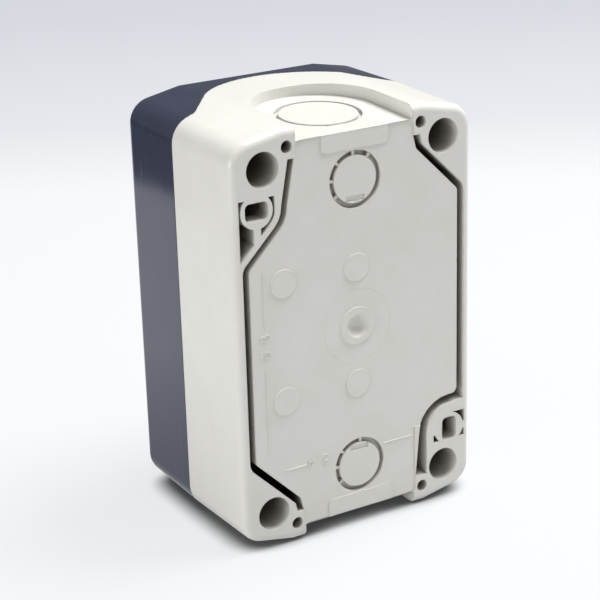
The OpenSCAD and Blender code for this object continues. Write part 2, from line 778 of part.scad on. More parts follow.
module ring_nut(z) color("slategray") at_head(z) slab(cover_in - nut_t, cover_in) difference() {
    circle(d = nut_d);
    circle(d = barrel_d + 2 * thread_play);
    for (k = [0:nut_notches - 1]) rotate(360 * k / nut_notches)
        translate([nut_d / 2 - nut_notch_deep, -nut_notch_w / 2]) square([nut_d, nut_notch_w]);
}
module pusher(z) color("whitesmoke") at_head(z) {
    rod(stud_d, stem_end - bite, stem_end + stud_l);
    rod(rod_d, pusher_flange_front - bite, stem_end);
    rod(pusher_flange_d, pusher_flange_back, pusher_flange_front);
    rod(tip_d, pusher_tip, pusher_flange_back + bite);
}

// Springs: one unbroken tube, wound along the depth between two seats
function wire_point(mean_r, wire_r, turns, length, k, n, side) = let(a = 360 * turns * k / n,
    b = 360 * side / wire_sides, r = mean_r + wire_r * cos(b))
    [r * cos(a), r * sin(a), wire_r + (length - 2 * wire_r) * k / n + wire_r * sin(b)];
module spring(mean_d, wire, turns, from, to) {
    n = turns * turn_rings;
    points = [for (k = [0:n]) for (s = [0:wire_sides - 1])
        wire_point(mean_d / 2, wire / 2, turns, to - from, k, n, s)];
    sides = [for (k = [0:n - 1]) for (s = [0:wire_sides - 1]) let(t = (s + 1) % wire_sides, a = k * wire_sides,
        b = a + wire_sides) each [[a + s, b + s, a + t], [b + s, b + t, a + t]]];
    caps = [[for (s = [0:wire_sides - 1]) s], [for (s = [wire_sides - 1:-1:0]) n * wire_sides + s]];
    translate([0, -from, 0]) rotate([90, 0, 0]) polyhedron(points, concat(sides, caps), convexity = 10);
}
module return_spring(z) color("silver") at_head(z)
    spring(spring_mean_d, spring_wire, spring_turns, barrel_floor, stem_end);

// Contact blocks
module block_housing(z) color("ivory") at_head(z) difference() {
    union() {
        slab(block_back, shelf_d) square([block_w, block_l], center = true);
        slab(block_back, block_front) square([block_w, 2 * tower_z], center = true);
        for (s = ends) slab(block_back, block_front)
            translate([s * (block_w - shelf_wall) / 2, 0]) square([shelf_wall, block_l], center = true);
        slab(block_back, block_back + ear_t) translate([0, -ear_z]) square([ear_end, 2 * ear_z]);
    }
    slab(ledge, block_front + over) square([2 * well_x, 2 * well_z], center = true);
    slab(well_floor, block_front + over) square([2 * well_x, 2 * well_low_z], center = true);
    slab(shelf_d, block_front + over) square([strip_w + 2 * play, 2 * terminal_z], center = true);
    for (s = ends) translate([0, 0, s * terminal_z])
        rod(terminal_d + 2 * pilot_play, shelf_d - terminal_deep - play, block_front);
    translate([block_post_x, 0, 0]) rod(block_screw_d + 2 * clear_play, 0, box_d);
    rod(peg_d + 2 * seat_play, 0, block_back + peg_h + play / 2);
}
module block_lid(z) color("lightgray") at_head(z) slab(block_front, lid_front) difference() {
    square([block_w, 2 * tower_z], center = true);
    square(lid_hole_w, center = true);
}
module block_plunger(z) color("royalblue") at_head(z) difference() {
    slab(plunger_end, plunger_top) square(plunger_w, center = true);
    slab(window_from, window_to) square([window_w, plunger_w + 2 * over], center = true);
    rod(block_spring_mean_d + small_wire + play, plunger_end - over, spring_seat);
}
module contact_bridge(z, bridge_at, pad_side) color("goldenrod") at_head(z) {
    slab(bridge_at, bridge_at + strip_t) square([bridge_w, 2 * bridge_z], center = true);
    pad_from = pad_side > 0 ? bridge_at + strip_t - bite : bridge_at - silver_t;
    for (s = ends) translate([0, 0, s * silver_z]) rod(silver_d, pad_from, pad_from + silver_t + bite);
}
module contact_spring(z, from, to) color("silver") at_head(z)
    spring(contact_spring_mean_d, small_wire, ceil((to - from) / contact_spring_pitch), from, to);
module block_spring(z) color("silver") at_head(z)
    spring(block_spring_mean_d, small_wire, block_spring_turns, well_floor, spring_seat);
// Two strips bent to a Z: the inner leg carries the silver pad, the outer leg lies under the terminal screw
module fixed_contacts(z, inner_at, pad_side) color("goldenrod") at_head(z) for (s = ends) scale([1, 1, s])
    difference() {
        union() {
            slab(inner_at, inner_at + strip_t) translate([-strip_w / 2, strip_in_z])
                square([strip_w, well_z - strip_in_z - seat_play]);
            slab(min(inner_at, shelf_d), max(inner_at, shelf_d) + strip_t)
                translate([-strip_w / 2, well_z - strip_t - seat_play]) square([strip_w, strip_t]);
            slab(shelf_d, shelf_d + strip_t) translate([-strip_w / 2, well_z - strip_t - seat_play])
                square([strip_w, strip_out_z - well_z + strip_t]);
            pad_from = pad_side > 0 ? inner_at + strip_t - bite : inner_at - silver_t;
            translate([0, 0, silver_z]) rod(silver_d, pad_from, pad_from + silver_t + bite);
        }
        translate([0, 0, terminal_z]) rod(terminal_d + 2 * clear_play, 0, box_d);
    }
module terminal_screws(z) color("silver") at_head(z) for (s = ends) translate([0, 0, s * terminal_z])
    slotted_screw(terminal_d, terminal_head_d, terminal_head_h, terminal_deep + strip_t + clamp_t,
        shelf_d + strip_t + clamp_t);
module wire_clamps(z) color("silver") at_head(z) for (s = ends) translate([0, 0, s * terminal_z])
    slab(shelf_d + strip_t, shelf_d + strip_t + clamp_t) difference() {
        square(clamp_w, center = true);
        circle(d = terminal_d + 2 * clear_play);
    }
module block_screw(z) color("silver") at_head(z) translate([block_post_x, 0, 0])
    slotted_screw(block_screw_d, block_screw_head_d, block_screw_head_h, block_screw_l, block_back + ear_t);
module slotted_screw(shank, head, head_h, length, seat) difference() {
    union() {
        rod(shank, seat - length, seat + bite);
        rod(head, seat, seat + head_h);
    }
    slab(seat + head_h - slot_cut_deep, seat + head_h + over)
        square([head + 2 * over, slot_cut_w], center = true);
}

rear_base();
front_cover();
cover_gasket();
cover_screws();
color("seagreen") button_cap(start_z);  // start_button_cap
bezel(start_z);  // start_bezel
panel_seal(start_z);  // start_panel_seal
ring_nut(start_z);  // start_ring_nut
pusher(start_z);  // start_pusher
return_spring(start_z);  // start_return_spring
color("firebrick") button_cap(stop_z);  // stop_button_cap
bezel(stop_z);  // stop_bezel
panel_seal(stop_z);  // stop_panel_seal
ring_nut(stop_z);  // stop_ring_nut
pusher(stop_z);  // stop_pusher
return_spring(stop_z);  // stop_return_spring
block_housing(start_z);  // start_block_housing
block_lid(start_z);  // start_block_lid
block_plunger(start_z);  // start_block_plunger
contact_bridge(start_z, make_bridge, -1);  // start_contact_bridge
contact_spring(start_z, make_bridge + strip_t, window_to);  // start_contact_spring
block_spring(start_z);  // start_block_spring
fixed_contacts(start_z, make_fixed, 1);  // start_fixed_contacts
terminal_screws(start_z);  // start_terminal_screws
wire_clamps(start_z);  // start_wire_clamps
block_screw(start_z);  // start_block_screw
block_housing(stop_z);  // stop_block_housing
block_lid(stop_z);  // stop_block_lid
block_plunger(stop_z);  // stop_block_plunger
contact_bridge(stop_z, break_bridge, 1);  // stop_contact_bridge
contact_spring(stop_z, window_from, break_bridge);  // stop_contact_spring
block_spring(stop_z);  // stop_block_spring
fixed_contacts(stop_z, break_fixed, -1);  // stop_fixed_contacts
terminal_screws(stop_z);  // stop_terminal_screws
wire_clamps(stop_z);  // stop_wire_clamps
block_screw(stop_z);  // stop_block_screw
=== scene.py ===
"""Two-button control station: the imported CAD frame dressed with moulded, turned and wound surfaces.

The scene is in metres in the CAD frame: the part stands on z = 0, its wall face looks along +Y and its buttons
along -Y. The sizes of the pieces are in millimetres, and their depths, as on the moulding drawings, are counted
forward from the wall face.
"""
from __future__ import annotations

import json
import logging
import math
from dataclasses import dataclass
from enum import Enum

import bmesh
import bpy
from mathutils import Matrix, Vector

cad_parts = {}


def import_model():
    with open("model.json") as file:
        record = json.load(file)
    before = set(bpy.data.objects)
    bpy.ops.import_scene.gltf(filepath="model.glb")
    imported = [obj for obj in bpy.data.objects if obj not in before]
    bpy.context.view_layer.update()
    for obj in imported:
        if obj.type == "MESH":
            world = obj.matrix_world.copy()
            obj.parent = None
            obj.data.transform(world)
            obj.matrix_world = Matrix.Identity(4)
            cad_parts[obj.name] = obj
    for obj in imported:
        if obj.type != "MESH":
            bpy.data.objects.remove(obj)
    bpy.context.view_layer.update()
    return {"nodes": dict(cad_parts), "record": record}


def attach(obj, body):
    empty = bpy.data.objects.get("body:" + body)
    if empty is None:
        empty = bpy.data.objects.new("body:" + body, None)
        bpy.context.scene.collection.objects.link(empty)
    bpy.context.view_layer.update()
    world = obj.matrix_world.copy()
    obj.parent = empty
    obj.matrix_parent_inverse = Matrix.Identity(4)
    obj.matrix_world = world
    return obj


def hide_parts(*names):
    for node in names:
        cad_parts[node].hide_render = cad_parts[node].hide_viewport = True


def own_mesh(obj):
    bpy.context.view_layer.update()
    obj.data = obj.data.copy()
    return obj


LOG = logging.getLogger("control_station")
MM = 0.001
WALL_FACE_Y = 31 * MM
MIDDLE_Z = 53 * MM
# Height of the start head above the middle of the box.
HEAD_Z = 15.0
# The posts that the contact blocks are screwed to, whose moulding leaves round marks on the panel.
POST_X = 20.4
# Angle in degrees between two faces above which a turned or cut edge stays crisp.
CREASE = 40.0
# A thread has no flat end turns; the share is above zero because the rise is divided by it.
NO_END_TURNS = 0.001

MATH, VECTOR_MATH, RANGE = "ShaderNodeMath", "ShaderNodeVectorMath", "ShaderNodeMapRange"
NOISE = "ShaderNodeTexNoise"
MIX, MIX_SHADER = "ShaderNodeMix", "ShaderNodeMixShader"

Mesh, Piece, Material = bpy.types.Mesh, bpy.types.Object, bpy.types.Material
Tree, Socket = bpy.types.NodeTree, bpy.types.NodeSocket
Point = tuple[float, float, float]
Span = tuple[float, float, float, float]
Profile = list[tuple[float, float]]


def place(x: float, depth: float, z: float) -> Vector:
    """Turn millimetres left, in front of the wall face and above the middle into a place in the CAD frame."""
    return Vector((x * MM, WALL_FACE_Y - depth * MM, MIDDLE_Z + z * MM))


def srgb(code: str) -> tuple[float, float, float, float]:
    """Turn a colour as it looks on screen into linear light.

    Args:
        code: A hash and six hex digits.

    Returns:
        Linear red, green, blue and an alpha of one.
    """
    parts = [int(code[k:k + 2], 16) / 255 for k in (1, 3, 5)]
    linear = [p / 12.92 if p <= 0.04045 else ((p + 0.055) / 1.055) ** 2.4 for p in parts]
    return (linear[0], linear[1], linear[2], 1.0)


def add_node(tree: Tree, kind: str, inputs: dict | tuple = (), output: str = "", **settings: object) -> Socket:
    """Add a node with its settings and its links.

    Args:
        tree: Node tree that gets the node.
        kind: Blender's identifier of the node type.
        inputs: Values or feeding sockets, by the name of their input or in the order of the inputs.
        output: Name of the output to give, where it isn't the first in use.
        settings: Properties of the node itself.

    Returns:
        The output socket, where the node has one.
    """
    node = tree.nodes.new(kind)
    for name, value in settings.items():
        setattr(node, name, value)
    for name, value in inputs.items() if isinstance(inputs, dict) else enumerate(inputs):
        if isinstance(value, Socket):
            tree.links.new(value, node.inputs[name])
        else:
            node.inputs[name].default_value = value
    return node.outputs[output] if output else next((socket for socket in node.outputs if socket.enabled), None)


def object_place(tree: Tree, stretch: Point = (1.0, 1.0, 1.0)) -> Socket:
    """Give the place on the object, in metres times a stretch along each axis."""
    spot = add_node(tree, "ShaderNodeTexCoord", output="Object")
    return add_node(tree, "ShaderNodeMapping", {"Vector": spot, "Scale": stretch})


@dataclass(frozen=True)
class Blotches:
    """A noise whose blotches have a real size, with octaves of finer ones on them."""

    size_mm: float
    octaves: float
    finer: float = 0.5

    def over(self, spot: Socket) -> dict[str, object]:
        """Give the inputs of the noise, over the place that it follows."""
        return {"Vector": spot, "Scale": 1 / (self.size_mm * MM),
                "Detail": self.octaves, "Roughness": self.finer}

    def between(self, tree: Tree, spot: Socket, span: Span) -> Socket:
        """Draw the blotches, and map them, clamped, from the first two values of a span to its last two."""
        return add_node(tree, RANGE, (add_node(tree, NOISE, self.over(spot)), *span))

    def raised(self, tree: Tree, spot: Socket, height_mm: float, **under: Socket) -> Socket:
        """Let the blotches stand out of a surface, which may have its own Normal under them."""
        height = add_node(tree, NOISE, self.over(spot))
        return add_node(tree, "ShaderNodeBump", {"Distance": height_mm * MM, "Height": height, **under})


def softened_edge(tree: Tree, radius_mm: float) -> tuple[Socket, Socket]:
    """Round the look of sharp edges, and find them.

    Args:
        tree: Node tree that gets the nodes.
        radius_mm: Width of the softened edge.

    Returns:
        The softened normal, and a mask that is one on the edge.
    """
    soft = add_node(tree, "ShaderNodeBevel", {"Radius": radius_mm * MM}, samples=4)
    plain = add_node(tree, "ShaderNodeNewGeometry", output="Normal")
    cosine = add_node(tree, VECTOR_MATH, (soft, plain), operation="DOT_PRODUCT")
    return soft, add_node(tree, RANGE, (cosine, 0.995, 0.86, 0.0, 1.0))


@dataclass(frozen=True)
class Finish:
    """Common part of every finish: a principled shader on patterns that are fixed to the object."""

    name: str
    colour: str
    shade: str

    def build(self) -> None:
        """Make the material of this finish."""
        material = bpy.data.materials.new(self.name)
        material.use_nodes = True
        tree = material.node_tree
        tree.nodes.clear()
        shader = add_node(tree, "ShaderNodeBsdfPrincipled", self.looks(tree))
        add_node(tree, "ShaderNodeOutputMaterial", {"Surface": shader})

    def tint(self, tree: Tree, spot: Socket, blotches: Blotches, span: Span) -> Socket:
        """Let the colour drift into its shade, where the blotches and their span say."""
        return add_node(tree, MIX, {"Factor": blotches.between(tree, spot, span), "A": srgb(self.colour),
                                    "B": srgb(self.shade)}, data_type="RGBA")

    def looks(self, tree: Tree) -> dict[str, object]:
        """Draw the patterns, and give the inputs of the shader: values, or sockets that feed them."""
        raise NotImplementedError


@dataclass(frozen=True)
class MouldedPlastic(Finish):
    """Injection-moulded plastic: an even self-coloured skin, a fine spark-eroded grain, and edges drawn
    lighter, partly as rubbing and partly as a painted edge highlight.
    """

    # Colour of the edges: partly rubbing, partly a painted edge highlight.
    edge_rub_and_highlight: str
    gloss: float
    grain_mm: float = 0.18
    grain_height_mm: float = 0.004
    edge_mm: float = 0.25
    wave_mm: float = 14.0
    wave_height_mm: float = 0.02
    ior: float = 1.54
    # Painted shade: a warm dark grey laid by ambient occlusion into deep recesses, and how far it looks for
    # them.
    painted_recess_shade: str = ""
    painted_shade_reach_mm: float = 16.0

    def looks(self, tree: Tree) -> dict[str, object]:
        """Draw colour drift, grain, sink waves, lighter edges that are partly rubbed and partly a painted
        highlight and, where it has a colour for it, a painted shade in deep recesses.

        Args:
            tree: Node tree of the material.

        Returns:
            Inputs of the shader.
        """
        spot = object_place(tree)
        skin = self.tint(tree, spot, Blotches(9.0, 4.0, 0.6), (0.3, 0.7, 0.0, 1.0))
        normal, edge = softened_edge(tree, self.edge_mm)
        # Lighter edges, in blotches: partly rubbing, partly a painted edge highlight.
        patches = Blotches(2.5, 5.0, 0.65).between(tree, spot, (0.35, 0.65, 0.25, 0.9))
        rub_and_highlight_share = add_node(tree, MATH, (edge, patches), operation="MULTIPLY")
        skin = add_node(tree, MIX, {"Factor": rub_and_highlight_share, "A": skin, "B": srgb(self.edge_rub_and_highlight)}, data_type="RGBA")
        # Painted shade: deep recesses are darkened by ambient occlusion.
        if self.painted_recess_shade:
            open_sky = add_node(tree, "ShaderNodeAmbientOcclusion", {"Distance": self.painted_shade_reach_mm * MM}, "AO",
                                samples=6, only_local=True)
            deep = add_node(tree, RANGE, (open_sky, 0.25, 0.04, 0.0, 1.0))
            skin = add_node(tree, MIX, {"Factor": deep, "A": skin, "B": srgb(self.painted_recess_shade)}, data_type="RGBA")
        grain = Blotches(self.grain_mm, 2.0).raised(tree, spot, self.grain_height_mm, Normal=normal)
        waves = Blotches(self.wave_mm, 1.0, 0.3).raised(tree, spot, self.wave_height_mm, Normal=grain)
        return {"Base Color": skin, "Roughness": self.gloss, "Normal": waves, "IOR": self.ior}


@dataclass(frozen=True)
class HandledGlossPlastic(MouldedPlastic):
    """Polished-tool moulding that has been handled: hairline scratches along the height, and specks of dust."""

    scratch: str = "#8A8D9A"
    scratch_mm: float = 0.48
    # Factor on the height that draws each hairline out to some eighty times its width.
    scratch_stretch: float = 0.012
    scratch_dull: float = 0.25

    def looks(self, tree: Tree) -> dict[str, object]:
        """Draw the plain moulding, then lay scratches and specks over its colour and gloss.

        Args:
            tree: Node tree of the material.

        Returns:
            Inputs of the shader.
        """
        looks, spot = super().looks(tree), object_place(tree)
        upright = object_place(tree, (1.0, 1.0, self.scratch_stretch))
        lines = Blotches(self.scratch_mm, 2.0, 0.4).between(tree, upright, (0.68, 0.78, 0.0, 1.0))
        patches = Blotches(11.0, 3.0, 0.6).between(tree, spot, (0.45, 0.7, 0.0, 0.5))
        specks = Blotches(0.55, 1.0).between(tree, spot, (0.79, 0.83, 0.0, 0.5))
        hairlines = add_node(tree, MATH, (lines, patches), operation="MULTIPLY")
        mask = add_node(tree, MATH, (hairlines, specks), operation="MAXIMUM")
        looks["Base Color"] = add_node(tree, MIX, {
            "Factor": mask, "A": looks["Base Color"], "B": srgb(self.scratch)}, data_type="RGBA")
        looks["Roughness"] = add_node(
            tree, MATH, (mask, self.scratch_dull, self.gloss), operation="MULTIPLY_ADD")
        return looks


@dataclass(frozen=True)
class Elastomer(Finish):
    """Moulded nitrile rubber: matt, nearly black, with a faint bloom of dust."""

    def looks(self, tree: Tree) -> dict[str, object]:
        """Draw bloom and skin texture.

        Args:
            tree: Node tree of the material.

        Returns:
            Inputs of the shader.
        """
        spot, bloom = object_place(tree), Blotches(1.6, 5.0, 0.65)
        return {"Base Color": self.tint(tree, spot, bloom, (0.4, 0.75, 0.0, 0.7)), "IOR": 1.52,
                "Roughness": bloom.between(tree, spot, (0.3, 0.7, 0.62, 0.8)),
                "Normal": Blotches(0.25, 3.0).raised(tree, spot, 0.01)}


@dataclass(frozen=True)
class WorkedMetal(Finish):
    """Metal with the lines that its tool left: drawn wire, stamped strip or turned and plated screws."""

    rough: float
    line_mm: float = 0.08
    lines: Point = (1.0, 1.0, 1.0)
    height_mm: float = 0.003
    edge_mm: float = 0.12

    def looks(self, tree: Tree) -> dict[str, object]:
        """Draw tool lines, tarnish and softened edges.

        Args:
            tree: Node tree of the material.

        Returns:
            Inputs of the shader.
        """
        spot, tarnish = object_place(tree), Blotches(1.8, 5.0, 0.6)
        soft, _ = softened_edge(tree, self.edge_mm)
        drawn = Blotches(self.line_mm, 3.0).raised(
            tree, object_place(tree, self.lines), self.height_mm, Normal=soft)
        dull = tarnish.between(tree, spot, (0.3, 0.75, self.rough - 0.06, self.rough + 0.12))
        return {"Base Color": self.tint(tree, spot, tarnish, (0.35, 0.7, 0.0, 1.0)), "Roughness": dull,
                "Normal": drawn, "Metallic": 1.0}


# The finishes of this station, each named for the record's slot that it dresses.
FINISHES: dict[str, Finish] = {
    # Light grey polycarbonate from a satin tool: it scatters softly. Its sharp edges are drawn lighter and
    # yellower, partly as rubbing and partly as a painted edge highlight.
    # Its deep recesses get a painted shade of warm dark grey. The real grain is too fine to
    # show, so it is drawn coarser and very low, as a soft gloss.
    "base_plastic": MouldedPlastic(
        "light_grey_polycarbonate", "#DAD8D2", "#D6D4CD", "#E6E2D6", 0.3,
        grain_mm=0.32, grain_height_mm=0.002, edge_mm=0.42, painted_recess_shade="#544936"),
    # Slate grey polycarbonate from a polished tool: it mirrors the table and shows every hairline.
    "cover_plastic": HandledGlossPlastic(
        "slate_grey_polycarbonate", "#383B4C", "#343748", "#6E7180", 0.085,
        grain_height_mm=0.0008, wave_height_mm=0.03),
    "seal_rubber": Elastomer("black_nitrile_rubber", "#1B1B1D", "#3A3A3C"),
    # Zinc plating passivated blue: bright, with the fine rings of the turned head.
    "screw_steel": WorkedMetal("zinc_plated_steel", "#C9CACB", "#A9ABB0", 0.28),
    # Satin polycarbonate caps, coloured all through.
    "start_cap_plastic": MouldedPlastic(
        "green_polycarbonate_cap", "#0E7A3C", "#0C7338", "#3B9A62", 0.3, grain_mm=0.3, grain_height_mm=0.0015),
    "stop_cap_plastic": MouldedPlastic(
        "red_polycarbonate_cap", "#B3141B", "#A91218", "#C9484A", 0.3, grain_mm=0.3, grain_height_mm=0.0015),
    # Glass-filled polyamide: black with a dry, slightly mottled skin.
    "bezel_plastic": MouldedPlastic(
        "black_glass_filled_polyamide", "#1C1D20", "#232428", "#45464A", 0.42,
        grain_mm=0.14, grain_height_mm=0.006),
    "nut_plastic": MouldedPlastic(
        "dark_grey_polyamide", "#3A3C41", "#35373B", "#5A5C60", 0.5, grain_height_mm=0.006),
    "pusher_plastic": MouldedPlastic("natural_acetal", "#E9E6DB", "#E1DED2", "#F3F1E8", 0.32),
    # Drawn stainless wire: the die leaves lines along it, too fine to see one by one.
    "spring_steel": WorkedMetal("drawn_spring_wire", "#BFC0C2", "#9C9EA2", 0.22, line_mm=0.06),
    "block_plastic": MouldedPlastic(
        "off_white_polyamide", "#E2DFD3", "#DAD7CA", "#EFEDE4", 0.48, grain_height_mm=0.006),
    "lid_plastic": MouldedPlastic(
        "mid_grey_polyamide", "#A9ABAC", "#A0A2A4", "#C3C4C5", 0.48, grain_height_mm=0.006),
    "plunger_plastic": MouldedPlastic("blue_acetal", "#2C4F96", "#28498C", "#5A78B3", 0.34),
    # Rolled brass strip: the rolls leave lines along the strip.
    "contact_brass": WorkedMetal("rolled_brass_strip", "#D6B36A", "#B98F46", 0.3, lines=(1.0, 1.0, 0.05)),
    # Fine silver rivets, which no slot names: soft white metal, a little dulled where they touch.
    "silver_pads": WorkedMetal("silver_contact_rivet", "#E4E4E1", "#C8C7C3", 0.26),
}


def finish_of(slot: str) -> Material:
    """Give the built finish of a slot."""
    return bpy.data.materials[FINISHES[slot].name]


def dress(piece: Piece, slot: str) -> None:
    """Give a piece one finish all over.

    Args:
        piece: Object to dress.
        slot: Record's material slot.
    """
    if not piece.material_slots:
        piece.data.materials.append(finish_of(slot))
    for held in piece.material_slots:
        held.material = finish_of(slot)


class Body(str, Enum):
    """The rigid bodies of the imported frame."""

    ENCLOSURE = "enclosure"
    START_BUTTON = "start_button"
    STOP_BUTTON = "stop_button"
    START_CONTACT = "start_contact"
    STOP_CONTACT = "stop_contact"


def new_piece(name: str, data: bpy.types.ID) -> Piece:
    """Put a mesh, a camera or a lamp into the scene at the origin.

    Args:
        name: Name of the piece.
        data: What it shows; a mesh has its place in it.

    Returns:
        The new object.
    """
    piece = bpy.data.objects.new(name, data)
    bpy.context.collection.objects.link(piece)
    return piece


def settle(piece: Piece, body: Body, slot: str, *nodes: str) -> Piece:
    """Dress a finished piece, hang it on its body, and hide the CAD nodes that it stands for.

    Args:
        piece: Object with its final mesh.
        body: Rigid body that it moves with.
        slot: Record's material slot.
        nodes: CAD nodes that it stands for.

    Returns:
        The same piece.
    """
    if not piece.data.materials:
        dress(piece, slot)
    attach(piece, body.value)
    if nodes:
        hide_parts(*nodes)
    return piece


def baked(piece: Piece) -> Mesh:
    """Turn the live modifiers of a piece into plain mesh.

    Args:
        piece: Object whose modifiers are applied and removed.

    Returns:
        Its new mesh.
    """
    graph = bpy.context.evaluated_depsgraph_get()
    mesh = bpy.data.meshes.new_from_object(piece.evaluated_get(graph))
    piece.modifiers.clear()
    old, piece.data = piece.data, mesh
    mesh.name = piece.name
    bpy.data.meshes.remove(old)
    return mesh


def smooth_by_angle(mesh: Mesh, degrees: float = CREASE) -> None:
    """Shade a mesh smooth, and keep its edges sharper than an angle crisp."""
    mesh.shade_smooth()
    mesh.set_sharp_from_angle(angle=math.radians(degrees))


def kept(name: str, work: bmesh.types.BMesh) -> Mesh:
    """Turn a closed working mesh into one that is kept, with its faces outwards.

    Args:
        name: Name of the mesh.
        work: Working mesh; it is used up.

    Returns:
        The mesh, its walls shaded smooth.
    """
    bmesh.ops.recalc_face_normals(work, faces=work.faces)
    mesh = bpy.data.meshes.new(name)
    work.to_mesh(mesh)
    work.free()
    smooth_by_angle(mesh)
    return mesh


def joined(name: str, meshes: list[Mesh]) -> Mesh:
    """Put several meshes into one, with the finishes of the first.

    Args:
        name: Name of the new mesh.
        meshes: Meshes to join; they are used up.

    Returns:
        The joined mesh.
    """
    work = bmesh.new()
    for mesh in meshes:
        work.from_mesh(mesh)
    whole = bpy.data.meshes.new(name)
    work.to_mesh(whole)
    work.free()
    for material in meshes[0].materials:
        whole.materials.append(material)
    for mesh in meshes:
        bpy.data.meshes.remove(mesh)
    return whole


def filleted(corners: list[Point], steps: int = 4) -> Profile:
    """Round the corners of a closed profile.

    Args:
        corners: Radius from the axis, depth and rounding of each corner.
        steps: Straight pieces of each rounding.

    Returns:
        The points of the rounded profile.
    """
    points: Profile = []
    # A rounding takes less than half of each side, so that it never meets the next one.
    most = 0.49
    for k, (radius, depth, rounding) in enumerate(corners):
        if not rounding:
            points.append((radius, depth))
            continue
        here = Vector((radius, depth))
        back = Vector(corners[k - 1][:2]) - here
        ahead = Vector(corners[(k + 1) % len(corners)][:2]) - here
        half = back.angle(ahead) / 2
        reach = min(rounding / math.tan(half), back.length * most, ahead.length * most)
        back, ahead = back.normalized(), ahead.normalized()
        start, end = here + back * reach, here + ahead * reach
        centre = here + (back + ahead).normalized() * (reach / math.cos(half))
        first = math.atan2(start.y - centre.y, start.x - centre.x)
        sweep = (math.atan2(end.y - centre.y, end.x - centre.x) - first + math.pi) % math.tau - math.pi
        size = (start - centre).length
        for step in range(steps + 1):
            angle = first + sweep * step / steps
            points.append((centre.x + size * math.cos(angle), centre.y + size * math.sin(angle)))
    return points


def turned(name: str, profile: Profile, z: float, x: float = 0.0, flats: int = 96) -> Mesh:
    """Turn a closed profile round an axis along the depth.

    Args:
        name: Name of the mesh.
        profile: Radius and depth of each point, in order round the section.
        z: Height of the axis.
        x: Place of the axis across the box.
        flats: Flats round the axis.

    Returns:
        The closed mesh.
    """
    work = bmesh.new()
    rings = []
    angles = [math.tau * k / flats for k in range(flats)]
    for radius, depth in profile:
        around = angles if radius > 1e-6 else [0.0]
        rings.append([work.verts.new(place(x + radius * math.cos(a), depth, z + radius * math.sin(a)))
                      for a in around])
    for near, far in zip(rings, rings[1:] + rings[:1]):
        for k in range(flats if len(near) + len(far) > 2 else 0):
            n = (k + 1) % flats
            corners = [near[k % len(near)], far[k % len(far)], far[n % len(far)], near[n % len(near)]]
            work.faces.new(list(dict.fromkeys(corners)))
    return kept(name, work)


def block_mesh(name: str, low: Point, high: Point, rounding: float = 0.0) -> Mesh:
    """Make a block with rounded edges.

    Args:
        name: Name of the mesh.
        low: Smallest x, depth and z.
        high: Largest x, depth and z.
        rounding: Rounding of its edges.

    Returns:
        The closed mesh.
    """
    work = bmesh.new()
    bmesh.ops.create_cube(work, size=1.0)
    for vert in work.verts:
        vert.co = place(*[low[k] + (vert.co[k] + 0.5) * (high[k] - low[k]) for k in range(3)])
    if rounding:
        bmesh.ops.bevel(
            work, geom=list(work.edges), offset=rounding * MM, segments=2, affect="EDGES", profile=0.5)
    return kept(name, work)


def cut(mesh: Mesh, tools: list[Mesh]) -> Mesh:
    """Cut tools out of a mesh.

    Args:
        mesh: Mesh to cut; it is used up.
        tools: Closed meshes to take away; they are used up.

    Returns:
        What is left.
    """
    host = new_piece("blank", mesh)
    cutters = [new_piece("cutter", tool) for tool in tools]
    for cutter in cutters:
        modifier = host.modifiers.new("cut", "BOOLEAN")
        modifier.operation, modifier.solver, modifier.object = "DIFFERENCE", "EXACT", cutter
    left = baked(host)
    for piece in [host, *cutters]:
        bpy.data.objects.remove(piece)
    for tool in tools:
        bpy.data.meshes.remove(tool)
    smooth_by_angle(left)
    return left


